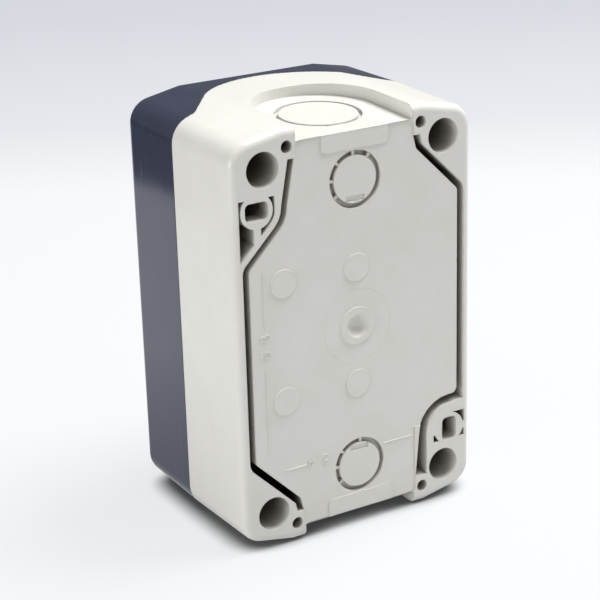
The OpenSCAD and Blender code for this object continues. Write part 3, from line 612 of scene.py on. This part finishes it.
class Recipe:
    """A Geometry Nodes tree with named sizes that is run once and kept as plain mesh."""

    def __init__(self, name: str, sizes: dict[str, float], source: Mesh | None = None) -> None:
        """Start the tree.

        Args:
            name: Name of the tree and of the mesh that it makes.
            sizes: Named inputs and their values.
            source: Mesh that the tree starts from, where it has one; it is used up.
        """
        self.name, self.sizes, self.source = name, sizes, source
        self.tree = bpy.data.node_groups.new(name, "GeometryNodeTree")
        face = self.tree.interface
        face.new_socket("Geometry", in_out="INPUT", socket_type="NodeSocketGeometry")
        for label in sizes:
            face.new_socket(label, in_out="INPUT", socket_type="NodeSocketFloat")
        face.new_socket("Geometry", in_out="OUTPUT", socket_type="NodeSocketGeometry")
        self.entry = self.tree.nodes.new("NodeGroupInput")

    def size(self, label: str) -> Socket:
        """Give the socket of a named input."""
        return self.entry.outputs[label]

    def add(self, kind: str, inputs: dict | tuple = (), **settings: object) -> Socket:
        """Add a node to this tree, and give its first output."""
        return add_node(self.tree, kind, inputs, **settings)

    def swept(self, curve: Socket, radius: Socket, sides: int) -> Socket:
        """Run a round section along a curve and close its ends.

        Args:
            curve: Curve to follow.
            radius: Radius of the section.
            sides: Flats round it.

        Returns:
            The mesh, shaded smooth.
        """
        section = self.add("GeometryNodeCurvePrimitiveCircle", {"Resolution": sides, "Radius": radius})
        skin = self.add("GeometryNodeCurveToMesh", {
            "Curve": curve, "Profile Curve": section, "Fill Caps": True})
        return self.add("GeometryNodeSetShadeSmooth", {"Geometry": skin})

    def finish(self, shape: Socket, slot: str, start: Vector | None = None) -> Mesh:
        """End the tree, run it and keep its mesh.

        Args:
            shape: What the tree makes.
            slot: Record's material slot of the mesh.
            start: Where a shape that was made along +Z starts, if it has to lie forward along the depth.

        Returns:
            The plain mesh.
        """
        if start is not None:
            shape = self.add("GeometryNodeTransform", {
                "Geometry": shape, "Translation": start, "Rotation": (math.pi / 2, 0.0, 0.0)})
        real = self.add("GeometryNodeRealizeInstances", {"Geometry": shape})
        dressed = self.add("GeometryNodeSetMaterial", {"Geometry": real, "Material": finish_of(slot)})
        self.add("NodeGroupOutput", (dressed,))
        host = new_piece(self.name, self.source or bpy.data.meshes.new(self.name))
        modifier = host.modifiers.new(self.name, "NODES")
        modifier.node_group = self.tree
        for item in self.tree.interface.items_tree:
            if item.in_out == "INPUT" and item.name in self.sizes:
                modifier[item.identifier] = float(self.sizes[item.name])
        mesh = baked(host)
        bpy.data.objects.remove(host)
        return mesh


@dataclass
class Winding:
    """A wire or a thread wound round an axis along the depth; a spring's end turns lie flat."""

    name: str
    z: float
    from_depth: float
    to_depth: float
    mean_r: float
    wire_d: float
    turns: float
    x: float = 0.0
    end_turns: float = 0.8
    sides: int = 10
    steps: int = 24

    def build(self, slot: str) -> Mesh:
        """Wind it.

        Args:
            slot: Record's material slot.

        Returns:
            The mesh of the winding.
        """
        recipe = Recipe(self.name, {
            "Mean Radius": self.mean_r * MM, "Wire": self.wire_d * MM, "Turns": self.turns,
            "End Turns": self.end_turns, "Length": (self.to_depth - self.from_depth) * MM})
        turns, wire, end, length, mean = map(
            recipe.size, ("Turns", "Wire", "End Turns", "Length", "Mean Radius"))
        ring = recipe.add("GeometryNodeCurveSpiral", {
            "Resolution": self.steps, "Rotations": turns, "Start Radius": mean, "End Radius": mean,
            "Height": 0.0})
        along = recipe.add(MATH, (recipe.add("GeometryNodeSplineParameter"), turns), operation="MULTIPLY")
        flat = recipe.add(MATH, (end, wire), operation="MULTIPLY")
        both_flat = recipe.add(MATH, (flat, 2.0), operation="MULTIPLY")
        inside = recipe.add(MATH, (length, wire), operation="SUBTRACT")
        free = recipe.add(MATH, (inside, both_flat), operation="SUBTRACT")
        last = recipe.add(MATH, (turns, end), operation="SUBTRACT")
        half_wire = recipe.add(MATH, (wire, 0.5), operation="MULTIPLY")
        rise = half_wire
        for low, high, lift in ((0.0, end, flat), (end, last, free), (last, turns, flat)):
            part = recipe.add(RANGE, (along, low, high, 0.0, lift))
            rise = recipe.add(MATH, (rise, part), operation="ADD")
        lifted = recipe.add("GeometryNodeSetPosition", {
            "Geometry": ring, "Offset": recipe.add("ShaderNodeCombineXYZ", {"Z": rise})})
        upright = recipe.add("GeometryNodeSetCurveNormal", {"Curve": lifted}, mode="Z_UP")
        skin = recipe.swept(upright, half_wire, self.sides)
        return recipe.finish(skin, slot, place(self.x, self.from_depth, self.z))

    def spring(self, body: Body, node: str, joint: str = "", anchor_y: float = 0.0) -> Piece:
        """Wind it as the spring of one node.

        Args:
            body: Rigid body that it stands on.
            node: CAD node that it stands for.
            joint: Joint named for it, where it has one; the piece then gets a mesh of its own.
            anchor_y: Not used.

        Returns:
            The new piece.
        """
        piece = settle(new_piece(self.name, self.build("spring_steel")), body, "spring_steel", node)
        if joint:
            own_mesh(piece)
        return piece


@dataclass
class CleanCopy:
    """A CAD solid redrawn without its loose triangles, so that flat walls are flat and curved ones flow."""

    node: str
    slot: str
    radius: float = 0.0
    body: Body = Body.ENCLOSURE
    flat_angle: float = 0.25
    edge_angle: float = 32.0
    weld: float = 0.003
    bends: tuple[float, ...] = ()
    soft_width: float = 2.6

    def soften(self, work: bmesh.types.BMesh) -> None:
        """Cut lines beside the shallow bends of the end walls, so that the shading turns over them slowly.

        Args:
            work: Mesh to cut.
        """
        for bend in self.bends:
            for side in (-self.soft_width, self.soft_width):
                level = [face for face in work.faces if abs(face.normal.z) > 0.9]
                edges = {edge for face in level for edge in face.edges}
                verts = {vert for face in level for vert in face.verts}
                bmesh.ops.bisect_plane(work, geom=[*verts, *edges, *level], dist=1e-7,
                                       plane_co=((bend + side) * MM, 0, 0), plane_no=(1, 0, 0))

    def even_normals(self, mesh: Mesh) -> None:
        """Give each corner the mean normal of the faces round it that look much the same way, by their size.

        Args:
            mesh: Mesh to shade.
        """
        around: dict[int, list[tuple[Vector, float]]] = {}
        for face in mesh.polygons:
            for vert in face.vertices:
                around.setdefault(vert, []).append((face.normal.copy(), face.area))
        limit = math.cos(math.radians(self.edge_angle))
        normals = []
        for face in mesh.polygons:
            for vert in face.vertices:
                total = Vector()
                for normal, area in around[vert]:
                    if normal.dot(face.normal) > limit:
                        total += normal * area
                normals.append(total.normalized() if total.length else face.normal.copy())
        mesh.shade_smooth()
        mesh.normals_split_custom_set(normals)

    def build(self) -> Piece:
        """Copy the node's mesh, merge it, round its edges where asked, and let the copy stand for it.

        Returns:
            The new piece.
        """
        mesh = bpy.data.objects[self.node].data.copy()
        mesh.materials.clear()
        work = bmesh.new()
        work.from_mesh(mesh)
        bmesh.ops.remove_doubles(work, verts=work.verts, dist=self.weld * MM)
        bmesh.ops.dissolve_degenerate(work, dist=self.weld * MM, edges=work.edges)
        bmesh.ops.dissolve_limit(
            work, angle_limit=math.radians(self.flat_angle), verts=work.verts, edges=work.edges)
        self.soften(work)
        work.to_mesh(mesh)
        work.free()
        piece = new_piece(f"{self.node}_finished", mesh)
        if self.radius:
            smooth_by_angle(mesh, self.edge_angle)
            bevel = piece.modifiers.new("mould_radius", "BEVEL")
            bevel.width, bevel.segments = self.radius * MM, 2
            bevel.limit_method, bevel.angle_limit = "ANGLE", math.radians(self.edge_angle)
            weighted = piece.modifiers.new("even_walls", "WEIGHTED_NORMAL")
            weighted.keep_sharp, weighted.weight = True, 100
            baked(piece)
        else:
            self.even_normals(mesh)
        return settle(piece, self.body, self.slot, self.node)


class Drive(Enum):
    """What the driver of a screw goes into."""

    CROSS = "cross"
    SLOT = "slot"


@dataclass
class Screw:
    """Machine screw with a rolled thread under its head, lying along the depth."""

    shank_d: float
    head_d: float
    head_h: float
    length: float
    seat: float
    pitch: float
    thread_share: float
    thread_deep: float
    head_edge: float
    drive: Drive = Drive.SLOT
    drive_w: float = 0.8
    drive_deep: float = 0.9
    drive_reach: float = 4.0

    def blank(self, x: float, z: float) -> Mesh:
        """Turn the core and the head, and cut the drive into it.

        Args:
            x: Place of the axis across the box.
            z: Height of the axis.

        Returns:
            The closed mesh.
        """
        core = self.shank_d / 2 - self.thread_deep
        tip, top = self.seat - self.length, self.seat + self.head_h
        body = turned("screw_blank", filleted([
            (0, tip, 0), (core - 0.2, tip, 0.1), (core, tip + 0.5, 0.1), (core, self.seat, 0.15),
            (self.head_d / 2, self.seat, 0.12), (self.head_d / 2, top, self.head_edge), (0, top, 0)]), z, x, 40)
        reach, half = self.drive_reach, self.drive_w / 2
        low, high = top - self.drive_deep, top + 1.0
        tools = [block_mesh("driver", (x - reach, low, z - half), (x + reach, high, z + half))]
        if self.drive is Drive.CROSS:
            tools.append(block_mesh("driver", (x - half, low, z - reach), (x + half, high, z + reach)))
        return cut(body, tools)

    def build(self, name: str, places: list[tuple[float, float]], node: str) -> Piece:
        """Make the screws of one node.

        Args:
            name: Name of the piece.
            places: Axis of each screw.
            node: CAD node that they stand for.

        Returns:
            The new piece.
        """
        meshes = []
        thread_l = self.length * self.thread_share
        # The thread starts behind the lead-in of the tip.
        start = self.seat - self.length + 0.35
        for x, z in places:
            blank = self.blank(x, z)
            blank.materials.append(finish_of("screw_steel"))
            thread = Winding(
                f"{name}_thread", z, start, start + thread_l, self.shank_d / 2 - self.thread_deep,
                self.thread_deep * 2, thread_l / self.pitch, x, NO_END_TURNS, 4, 20).build("screw_steel")
            meshes += [blank, thread]
        return settle(new_piece(name, joined(name, meshes)), Body.ENCLOSURE, "screw_steel", node)


@dataclass
class ButtonHead:
    """One flush push button: cap, threaded bezel, panel seal, ring nut, pusher and its return spring."""

    name: str
    z: float
    button: Body
    barrel_r: float = 11.0
    core_r: float = 10.62
    bore_r: float = 8.5
    rod_hole_r: float = 4.8
    flange_r: float = 14.25
    lip_r: float = 13.3
    bezel_bore_r: float = 11.6
    cap_r: float = 11.3
    stem_r: float = 8.2
    peg_r: float = 3.5
    dish_r: float = 9.6
    dish_deep: float = 0.5
    cap_under: float = 59.6
    cap_front: float = 61.5
    stem_end: float = 51.3
    barrel_end: float = 38.0
    barrel_floor: float = 40.0
    barrel_top: float = 50.5
    thread_from: float = 38.7
    thread_to: float = 50.3
    thread_pitch: float = 1.5
    panel_front: float = 53.0
    seal_front: float = 54.0
    seal_bead: float = 0.12
    cap_floor: float = 55.1
    shoulder: float = 59.2
    bezel_front: float = 62.0
    ribs: int = 48
    rib_r: float = 0.25
    rib_from: float = 54.9
    rib_l: float = 3.6
    spring_anchor_y: float = -0.009

    def cap(self) -> Mesh:
        """Turn the dished cap with its hollow stem."""
        dish = [(self.dish_r * share, self.cap_front - self.dish_deep * (1 - share * share), 0.0)
                for share in (1.0, 0.85, 0.7, 0.55, 0.4, 0.2, 0.0)]
        socket_r, socket_end = self.peg_r + 0.05, 56.7
        return turned(f"{self.name}_cap", filleted([
            (0, socket_end, 0), (socket_r, socket_end, 0.2), (socket_r, self.stem_end, 0.15),
            (self.stem_r, self.stem_end, 0.4), (self.stem_r, self.cap_under, 0.3),
            (self.cap_r, self.cap_under, 0.2), (self.cap_r, self.cap_front, 0.7), *dish]), self.z)

    def bezel(self) -> Mesh:
        """Turn barrel and flange, and add the thread, the grip ribs and the key that stops it turning."""
        slot = "bezel_plastic"
        shell = turned(f"{self.name}_bezel", filleted([
            (self.bore_r, self.barrel_floor, 0.4), (self.rod_hole_r, self.barrel_floor, 0.3),
            (self.rod_hole_r, self.barrel_end, 0.2), (self.core_r, self.barrel_end, 0.6),
            (self.core_r, self.barrel_top - 0.1, 0.1), (self.barrel_r, self.barrel_top, 0.1),
            (self.barrel_r, self.seal_front, 0.1), (self.flange_r, self.seal_front, 0.3),
            (self.flange_r, self.shoulder, 0.8), (self.lip_r, self.bezel_front, 0.7),
            (self.bezel_bore_r, self.bezel_front, 0.35), (self.bezel_bore_r, self.cap_floor, 0.3),
            (self.bore_r, self.cap_floor, 0.3)]), self.z)
        shell.materials.append(finish_of(slot))
        thread = Winding(
            f"{self.name}_barrel_thread", self.z, self.thread_from, self.thread_to, self.core_r, 0.72,
            (self.thread_to - self.thread_from) / self.thread_pitch, 0.0, NO_END_TURNS, 4, 72).build(slot)
        key = block_mesh("key", (-1.4, 50.6, self.z + 10.8), (1.4, 52.9, self.z + 12.0), 0.2)
        return joined(f"{self.name}_bezel", [shell, thread, self.grip(slot), key])

    def grip(self, slot: str) -> Mesh:
        """Set round ribs about the flange, for wet fingers.

        Args:
            slot: Record's material slot.

        Returns:
            The mesh of the ribs.
        """
        recipe = Recipe(f"{self.name}_grip", {
            "Ring Radius": (self.flange_r - 0.02) * MM, "Ribs": self.ribs, "Rib Radius": self.rib_r * MM,
            "Length": self.rib_l * MM})
        ring = recipe.add("GeometryNodeMeshCircle", {
            "Vertices": recipe.size("Ribs"), "Radius": recipe.size("Ring Radius")})
        top = recipe.add("ShaderNodeCombineXYZ", {"Z": recipe.size("Length")})
        line = recipe.add("GeometryNodeCurvePrimitiveLine", {"Start": (0.0, 0.0, 0.0), "End": top})
        rib = recipe.swept(line, recipe.size("Rib Radius"), 10)
        ribs = recipe.add("GeometryNodeInstanceOnPoints", {"Points": ring, "Instance": rib})
        return recipe.finish(ribs, slot, place(0, self.rib_from, self.z))

    def seal(self) -> Mesh:
        """Turn the flat seal under the flange, with a bead on each face."""
        low, high, bead = self.panel_front, self.seal_front, self.seal_bead
        near = [(11.3, bead, 0.1), (12.0, bead, 0.1), (12.2, 0, 0.1), (12.6, 0, 0.1), (12.8, bead, 0.1),
                (13.6, bead, 0.2)]
        far = [(r, high - d, f) for r, d, f in reversed(near)]
        return turned(f"{self.name}_seal", filleted([(r, low + d, f) for r, d, f in near] + far, 2), self.z)

    def pusher(self) -> Mesh:
        """Turn the rod that carries the press to the block: foot, collar, stem and the peg in the cap."""
        foot, collar, top = 35.2, (35.7, 37.7), 56.3
        return turned(f"{self.name}_pusher", filleted([
            (0, foot, 0), (self.peg_r, foot, 0.25), (self.peg_r, collar[0], 0.1), (6.5, collar[0], 0.4),
            (6.5, collar[1], 0.4), (4.5, collar[1], 0.3), (4.5, self.stem_end, 0.3),
            (self.peg_r, self.stem_end, 0.1), (self.peg_r, top, 0.4), (0, top, 0)]), self.z, flats=56)

    def build(self) -> list[Piece]:
        """Make and dress the pieces of the head.

        Returns:
            The new pieces.
        """
        name, fixed = self.name, Body.ENCLOSURE
        coil = Winding(f"{name}_return_coil", self.z, self.barrel_floor, self.stem_end, 6.5, 1.2, 5.0,
                       sides=14, steps=40)
        spring = coil.spring(fixed, f"{name}_return_spring", f"{name}_button_press", self.spring_anchor_y)
        return [
            settle(new_piece(f"{name}_dished_cap", self.cap()), self.button, f"{name}_cap_plastic",
                   f"{name}_button_cap"),
            settle(new_piece(f"{name}_threaded_bezel", self.bezel()), fixed, "bezel_plastic", f"{name}_bezel"),
            settle(new_piece(f"{name}_beaded_seal", self.seal()), fixed, "seal_rubber", f"{name}_panel_seal"),
            CleanCopy(f"{name}_ring_nut", "nut_plastic", 0.3).build(),
            settle(new_piece(f"{name}_push_rod", self.pusher()), self.button, "pusher_plastic",
                   f"{name}_pusher"),
            spring,
        ]


@dataclass
class ContactBlock:
    """One contact block: housing, lid, plunger, bridge, springs, fixed contacts and their terminals."""

    name: str
    z: float
    moving: Body
    contact_spring_from: float
    contact_spring_to: float
    contact_spring_turns: float
    silver_z: float = 5.2
    silver_r: float = 1.32
    terminal_z: float = 11.6
    spring_from: float = 9.9
    spring_to: float = 16.9
    spring_anchor_y: float = 0.0211

    def silvered(self, piece: Piece) -> Piece:
        """Give the round contact pads of a strip their silver.

        Args:
            piece: Strip with its pads.

        Returns:
            The same piece.
        """
        mesh = piece.data
        mesh.materials.append(finish_of("silver_pads"))
        for face in mesh.polygons:
            spots = [mesh.vertices[v].co for v in face.vertices]
            if max(math.hypot(spot.x / MM, abs((spot.z - MIDDLE_Z) / MM - self.z) - self.silver_z)
                   for spot in spots) < self.silver_r:
                face.material_index = 1
        return piece

    def build(self) -> list[Piece]:
        """Make and dress the pieces of the block.

        Returns:
            The new pieces.
        """
        name, z = self.name, self.z
        block_coil = Winding(f"{name}_block_coil", z, self.spring_from, self.spring_to, 1.45, 0.5, 5.0)
        contact_coil = Winding(f"{name}_contact_coil", z, self.contact_spring_from, self.contact_spring_to,
                               1.3, 0.5, self.contact_spring_turns)
        springs = [
            block_coil.spring(
                Body.ENCLOSURE, f"{name}_block_spring", f"{name}_contact_press", self.spring_anchor_y),
            contact_coil.spring(self.moving, f"{name}_contact_spring")]
        terminals = Screw(
            shank_d=3.0, head_d=5.2, head_h=2.4, length=8.5, seat=21.5, pitch=0.5, thread_share=0.8,
            thread_deep=0.22, head_edge=0.35)
        fixing = Screw(
            shank_d=2.8, head_d=5.4, head_h=2.1, length=8.0, seat=11.9, pitch=0.9, thread_share=0.7,
            thread_deep=0.28, head_edge=0.4)
        pair = [(0, z - self.terminal_z), (0, z + self.terminal_z)]
        return [
            CleanCopy(f"{name}_block_housing", "block_plastic", 0.2).build(),
            CleanCopy(f"{name}_block_lid", "lid_plastic", 0.2).build(),
            CleanCopy(f"{name}_block_plunger", "plunger_plastic", 0.15, self.moving).build(),
            self.silvered(CleanCopy(f"{name}_contact_bridge", "contact_brass", 0.08, self.moving).build()),
            self.silvered(CleanCopy(f"{name}_fixed_contacts", "contact_brass", 0.08).build()),
            CleanCopy(f"{name}_wire_clamps", "screw_steel", 0.1).build(),
            *springs,
            terminals.build(f"{name}_terminal_pair", pair, f"{name}_terminal_screws"),
            fixing.build(f"{name}_fixing_screw", [(POST_X, z)], f"{name}_block_screw"),
        ]


@dataclass
class PanelMarks:
    """Thin raised lines, rims and plain cavity numbers that the mould leaves on the rear panel."""

    surface: float = 0.3
    line_r: float = 0.26
    # How far the middle of a stroke lies below the panel, which says how much of it stands out.
    line_sunk: float = 0.06
    rim_sunk: float = -0.02
    insert_sunk: float = 0.215
    lines: tuple[Span, ...] = (
        (25.8, 19.0, 25.8, 5.0), (25.8, -6.0, 25.8, -28.0),
        (21.5, -33.2, 15.4, -33.2), (-6.9, -33.2, -16.0, -33.2))
    # Figure, x and z of its middle, height and turn in degrees as seen from behind.
    figures: tuple[tuple[str, float, float, float, float], ...] = (
        ("6", 25.8, -2.0, 3.0, 90.0), ("8", 25.8, 2.3, 3.0, 90.0), ("5", 10.0, -33.1, 2.7, 180.0),
        ("4", 14.3, -33.3, 2.7, 180.0))
    # Radius of the rims of the round marks and of the gate, and of the edge of the gate's mould insert.
    mark_r: float = 3.38
    gate_r: float = 4.68
    insert_r: float = 9.5

    @staticmethod
    def arc(x: float, y: float, rx: float, ry: float, start: float, end: float, count: int = 14) -> Profile:
        """Give points on an arc round a middle, from one angle in degrees to another."""
        turns = [math.radians(start + (end - start) * k / count) for k in range(count + 1)]
        return [(x + rx * math.cos(t), y + ry * math.sin(t)) for t in turns]

    def strokes(self, figure: str) -> list[Profile]:
        """Give the strokes of a plain figure.

        Args:
            figure: One digit.

        Returns:
            The strokes, in shares of its height.
        """
        return {
            "4": [[(0.42, 0.0), (0.42, 1.0)], [(0.42, 1.0), (0.0, 0.3), (0.6, 0.3)]],
            "5": [[(0.52, 1.0), (0.12, 1.0), (0.08, 0.55)] + self.arc(0.28, 0.31, 0.27, 0.31, 125, -140)],
            "6": [self.arc(0.3, 0.28, 0.26, 0.28, 180, -180) + self.arc(0.56, 0.4, 0.52, 0.6, 180, 95)],
            "8": [self.arc(0.3, 0.26, 0.27, 0.26, 90, 450), self.arc(0.3, 0.76, 0.22, 0.24, -90, 270)],
        }[figure]

    def paths(self) -> list[list[Vector]]:
        """Collect every line, figure and ring, each as points on the panel."""
        level = self.surface + self.line_sunk
        paths = [[place(x0, level, z0), place(x1, level, z1)] for x0, z0, x1, z1 in self.lines]
        for figure, x, z, height, turn in self.figures:
            cos, sin = math.cos(math.radians(turn)), math.sin(math.radians(turn))
            for stroke in self.strokes(figure):
                spots = [((u - 0.3) * height, (v - 0.5) * height) for u, v in stroke]
                paths.append([place(x - u * cos + v * sin, level, z + u * sin + v * cos) for u, v in spots])
        rings = [(x, z, self.mark_r, self.rim_sunk) for x in (0.0, POST_X) for z in (HEAD_Z, -HEAD_Z)]
        rings += [(0.0, 0.0, self.gate_r, self.rim_sunk), (0.0, 0.0, self.insert_r, self.insert_sunk)]
        for x, z, radius, sunk in rings:
            ring = self.arc(x, z, radius, radius, 0, 360, 72)
            paths.append([place(u, self.surface + sunk, v) for u, v in ring])
        return paths

    def build(self) -> Piece:
        """Make the marks as one piece.

        Returns:
            The new piece.
        """
        name, points, edges = "panel_marks", [], []
        for path in self.paths():
            closed = (path[0] - path[-1]).length < 1e-7
            spots = path[:-1] if closed else path
            first, last = len(points), len(points) + len(spots) - 1
            edges += [(k, k + 1) for k in range(first, last)] + ([(last, first)] if closed else [])
            points += spots
        drawing = bpy.data.meshes.new(name)
        drawing.from_pydata(points, edges, [])
        recipe = Recipe(name, {"Line Radius": self.line_r * MM}, drawing)
        curve = recipe.add("GeometryNodeMeshToCurve", {"Mesh": recipe.size("Geometry")})
        skin = recipe.swept(curve, recipe.size("Line Radius"), 10)
        return settle(new_piece(name, recipe.finish(skin, "base_plastic")), Body.ENCLOSURE, "base_plastic")


def facing(spot: Point, aim: Point, roll: float = 0.0) -> Matrix:
    """Give the matrix of a camera or lamp at a spot that looks at its aim, leaning over by degrees of roll."""
    turn = (Vector(aim) - Vector(spot)).to_track_quat("-Z", "Y").to_matrix()
    return Matrix.Translation(spot) @ (turn @ Matrix.Rotation(math.radians(-roll), 3, "Z")).to_4x4()


@dataclass
class Studio:
    """White table under soft light, with the camera where the photograph was taken."""

    camera_place: Point = (0.220923, 0.378846, 0.213127)
    camera_aim: Point = (0.016155, 0.031, 0.063172)
    camera_roll: float = 1.639
    lens_mm: float = 109.326
    sensor_mm: float = 36.0
    table_half: float = 3.0
    # The cloth as light falls on it, how much of its look to the camera is its own white, and that white near,
    # behind and far behind the part.
    table_cloth: str = "#D0D1D3"
    table_lit: float = 0.78
    table_near: str = "#FBFCFD"
    table_middle: str = "#E8EAEF"
    table_far: str = "#DCDFE6"
    backdrop: str = "#E4E7ED"
    # What the gloss of the part mirrors of the table, and of the room.
    mirrored_table: str = "#F2F4F8"
    mirrored_room: str = "#E4E8F0"

    def build(self) -> None:
        """Set the view, and make the camera, the table and the light."""
        bpy.context.scene.view_settings.view_transform = "Standard"
        self.make_camera()
        self.make_table()
        self.make_world()
        self.soft_box("overhead", (-0.3, 0.066, 0.69), (0.0, 0.0, 0.05), 0.36, 6.8)
        self.soft_box("side", (0.78, 0.08, 0.05), (0.0, 0.0, 0.03), 0.4, 4.35)

    def make_camera(self) -> None:
        """Make the camera of the photograph."""
        data = bpy.data.cameras.new("photo_camera")
        data.lens, data.sensor_width = self.lens_mm, self.sensor_mm
        data.clip_start, data.clip_end = 0.01, 20.0
        camera = new_piece("photo_camera", data)
        camera.matrix_world = facing(self.camera_place, self.camera_aim, self.camera_roll)
        bpy.context.scene.camera = camera

    def make_table(self) -> None:
        """Make the table: white near the part, pale blue-grey behind it, with a painted contact shadow where
        the part touches it.
        """
        half = self.table_half
        mesh = bpy.data.meshes.new("table")
        mesh.from_pydata(
            [(-half, -half, 0), (half, -half, 0), (half, half, 0), (-half, half, 0)], [], [(0, 1, 2, 3)])
        material = bpy.data.materials.new("white_table")
        material.use_nodes = True
        tree = material.node_tree
        tree.nodes.clear()
        spot = add_node(tree, "ShaderNodeTexCoord", output="Object")
        reach = add_node(tree, VECTOR_MATH, (spot,), operation="LENGTH")
        edge = add_node(tree, RANGE, (reach, 0.7, 2.4, 0.0, 1.0))
        camera_ray = add_node(tree, "ShaderNodeLightPath", output="Is Camera Ray")
        glossy_ray = add_node(tree, "ShaderNodeLightPath", output="Is Glossy Ray")
        share = add_node(tree, MATH, (edge, self.table_lit), operation="MAXIMUM")
        lit = add_node(tree, MATH, (camera_ray, share), operation="MULTIPLY")
        cloth = add_node(tree, "ShaderNodeBsdfDiffuse", {"Color": srgb(self.table_cloth)})
        top = add_node(tree, MIX_SHADER, (lit, cloth, self.own_white(tree, spot, edge)))
        mixed = add_node(tree, MIX_SHADER, (glossy_ray, top, self.reflection(tree, spot, reach)))
        add_node(tree, "ShaderNodeOutputMaterial", {"Surface": mixed})
        mesh.materials.append(material)
        new_piece("table", mesh)

    def own_white(self, tree: Tree, spot: Socket, edge: Socket) -> Socket:
        """Draw the white that the camera sees in the table.

        Args:
            tree: Node tree of the table's material.
            spot: Place on the table.
            edge: Share of the backdrop's colour, from the part to the rim of the table.

        Returns:
            The shader.
        """
        away = add_node(tree, VECTOR_MATH, (spot, (-0.507, -0.862, 0.0)), operation="DOT_PRODUCT")
        colour: object = srgb(self.table_near)
        for share, code in ((add_node(tree, RANGE, (away, 0.265, 0.37, 0.0, 1.0)), self.table_middle),
                            (add_node(tree, RANGE, (away, 0.37, 0.6, 0.0, 1.0)), self.table_far),
                            (edge, self.backdrop)):
            colour = add_node(tree, MIX, {"Factor": share, "A": colour, "B": srgb(code)}, data_type="RGBA")
        # Painted contact shadow: ambient occlusion dims the table's glow next to the part.
        open_sky = add_node(tree, "ShaderNodeAmbientOcclusion", {"Distance": 0.009}, "AO", samples=16)
        contact = add_node(tree, RANGE, (open_sky, 0.3, 0.7, 0.03, 1.0))
        return add_node(tree, "ShaderNodeEmission", {"Color": colour, "Strength": contact})

    def reflection(self, tree: Tree, spot: Socket, reach: Socket) -> Socket:
        """Draw what the part's gloss mirrors of the table: white beside it, and the dark of the room beyond.

        Args:
            tree: Node tree of the table's material.
            spot: Place on the table.
            reach: Distance from the middle of the part.

        Returns:
            The shader.
        """
        beside = add_node(tree, VECTOR_MATH, (spot, (0.977, -0.212, 0.0)), operation="DOT_PRODUCT")
        ends = add_node(tree, RANGE, (beside, 0.2, 0.208, 0.95, 0.06))
        room = add_node(tree, RANGE, (reach, 0.4, 0.6, 1.0, 0.3))
        # Painted shadow: the mirrored table is dimmer close to the part, as if the part shaded it.
        shaded = add_node(tree, RANGE, (reach, 0.05, 0.13, 0.55, 1.0))
        mirrored = add_node(tree, MATH, (ends, room), operation="MULTIPLY")
        strength = add_node(tree, MATH, (shaded, mirrored), operation="MULTIPLY")
        return add_node(tree, "ShaderNodeEmission", {"Color": srgb(self.mirrored_table), "Strength": strength})

    def make_world(self) -> None:
        """Make the even light of the room, darker where a gloss surface mirrors it."""
        world = bpy.data.worlds.new("room")
        bpy.context.scene.world = world
        world.use_nodes = True
        tree = world.node_tree
        tree.nodes.clear()
        light, behind, mirrored = [
            add_node(tree, "ShaderNodeBackground", {"Color": srgb(code), "Strength": strength})
            for code, strength in (("#F6F8FA", 0.51), (self.backdrop, 1.0), (self.mirrored_room, 0.16))]
        camera_ray = add_node(tree, "ShaderNodeLightPath", output="Is Camera Ray")
        glossy_ray = add_node(tree, "ShaderNodeLightPath", output="Is Glossy Ray")
        seen = add_node(tree, MIX_SHADER, (camera_ray, light, behind))
        mixed = add_node(tree, MIX_SHADER, (glossy_ray, seen, mirrored))
        add_node(tree, "ShaderNodeOutputWorld", {"Surface": mixed})

    @staticmethod
    def soft_box(name: str, spot: Point, aim: Point, side: float, watts: float) -> None:
        """Make one square area lamp.

        Args:
            name: Name of the lamp.
            spot: Where it hangs, in metres.
            aim: What it points at.
            side: Length of its side in metres.
            watts: Its power.
        """
        data = bpy.data.lights.new(name, "AREA")
        data.shape, data.size, data.energy = "SQUARE", side, watts
        new_piece(name, data).matrix_world = facing(spot, aim)


@dataclass
class Housing:
    """The closed box: rear base with its marks, front cover, gasket and cover screws."""

    screw_x: float = 25.1
    screw_z: float = 43.6
    # Where the end walls bend from level to sloping, under the arch.
    bend_x: float = 19.6

    def build(self) -> list[Piece]:
        """Make and dress the pieces of the box.

        Returns:
            The new pieces.
        """
        corners = [(x, z) for x in (-self.screw_x, self.screw_x) for z in (-self.screw_z, self.screw_z)]
        bends = (-self.bend_x, self.bend_x)
        screw = Screw(
            shank_d=3.9, head_d=7.4, head_h=2.8, length=29.5, seat=49.0, pitch=0.8, thread_share=0.86,
            thread_deep=0.34, head_edge=0.5, drive=Drive.CROSS, drive_w=1.1, drive_deep=1.4, drive_reach=2.3)
        return [
            CleanCopy("rear_base", "base_plastic", bends=bends).build(),
            PanelMarks().build(),
            CleanCopy("front_cover", "cover_plastic", bends=bends).build(),
            CleanCopy("cover_gasket", "seal_rubber").build(),
            screw.build("cover_screw_set", corners, "cover_screws"),
        ]


def dress_frame(frame: dict) -> None:
    """Give every CAD node that stays on show the finish of its slot.
    """
    slots = {row["node"]: row["material_slot"] for row in frame["record"]["subparts"]}
    for name, node in frame["nodes"].items():
        dress(node, slots[name])


def main() -> None:
    """Load the frame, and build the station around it."""
    logging.basicConfig(level=logging.INFO, format="%(name)s: %(message)s")
    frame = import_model()
    for finish in FINISHES.values():
        finish.build()
    Studio().build()
    dress_frame(frame)
    assemblies = [
        Housing(),
        ButtonHead("start", HEAD_Z, Body.START_BUTTON),
        ButtonHead("stop", -HEAD_Z, Body.STOP_BUTTON),
        ContactBlock("start", HEAD_Z, Body.START_CONTACT, 18.5, 25.5, 7.0),
        ContactBlock("stop", -HEAD_Z, Body.STOP_CONTACT, 17.7, 21.0, 4.5)]
    for assembly in assemblies:
        for piece in assembly.build():
            LOG.info("%s: %d vertices", piece.name, len(piece.data.vertices))


if __name__ == "__main__":
    main()
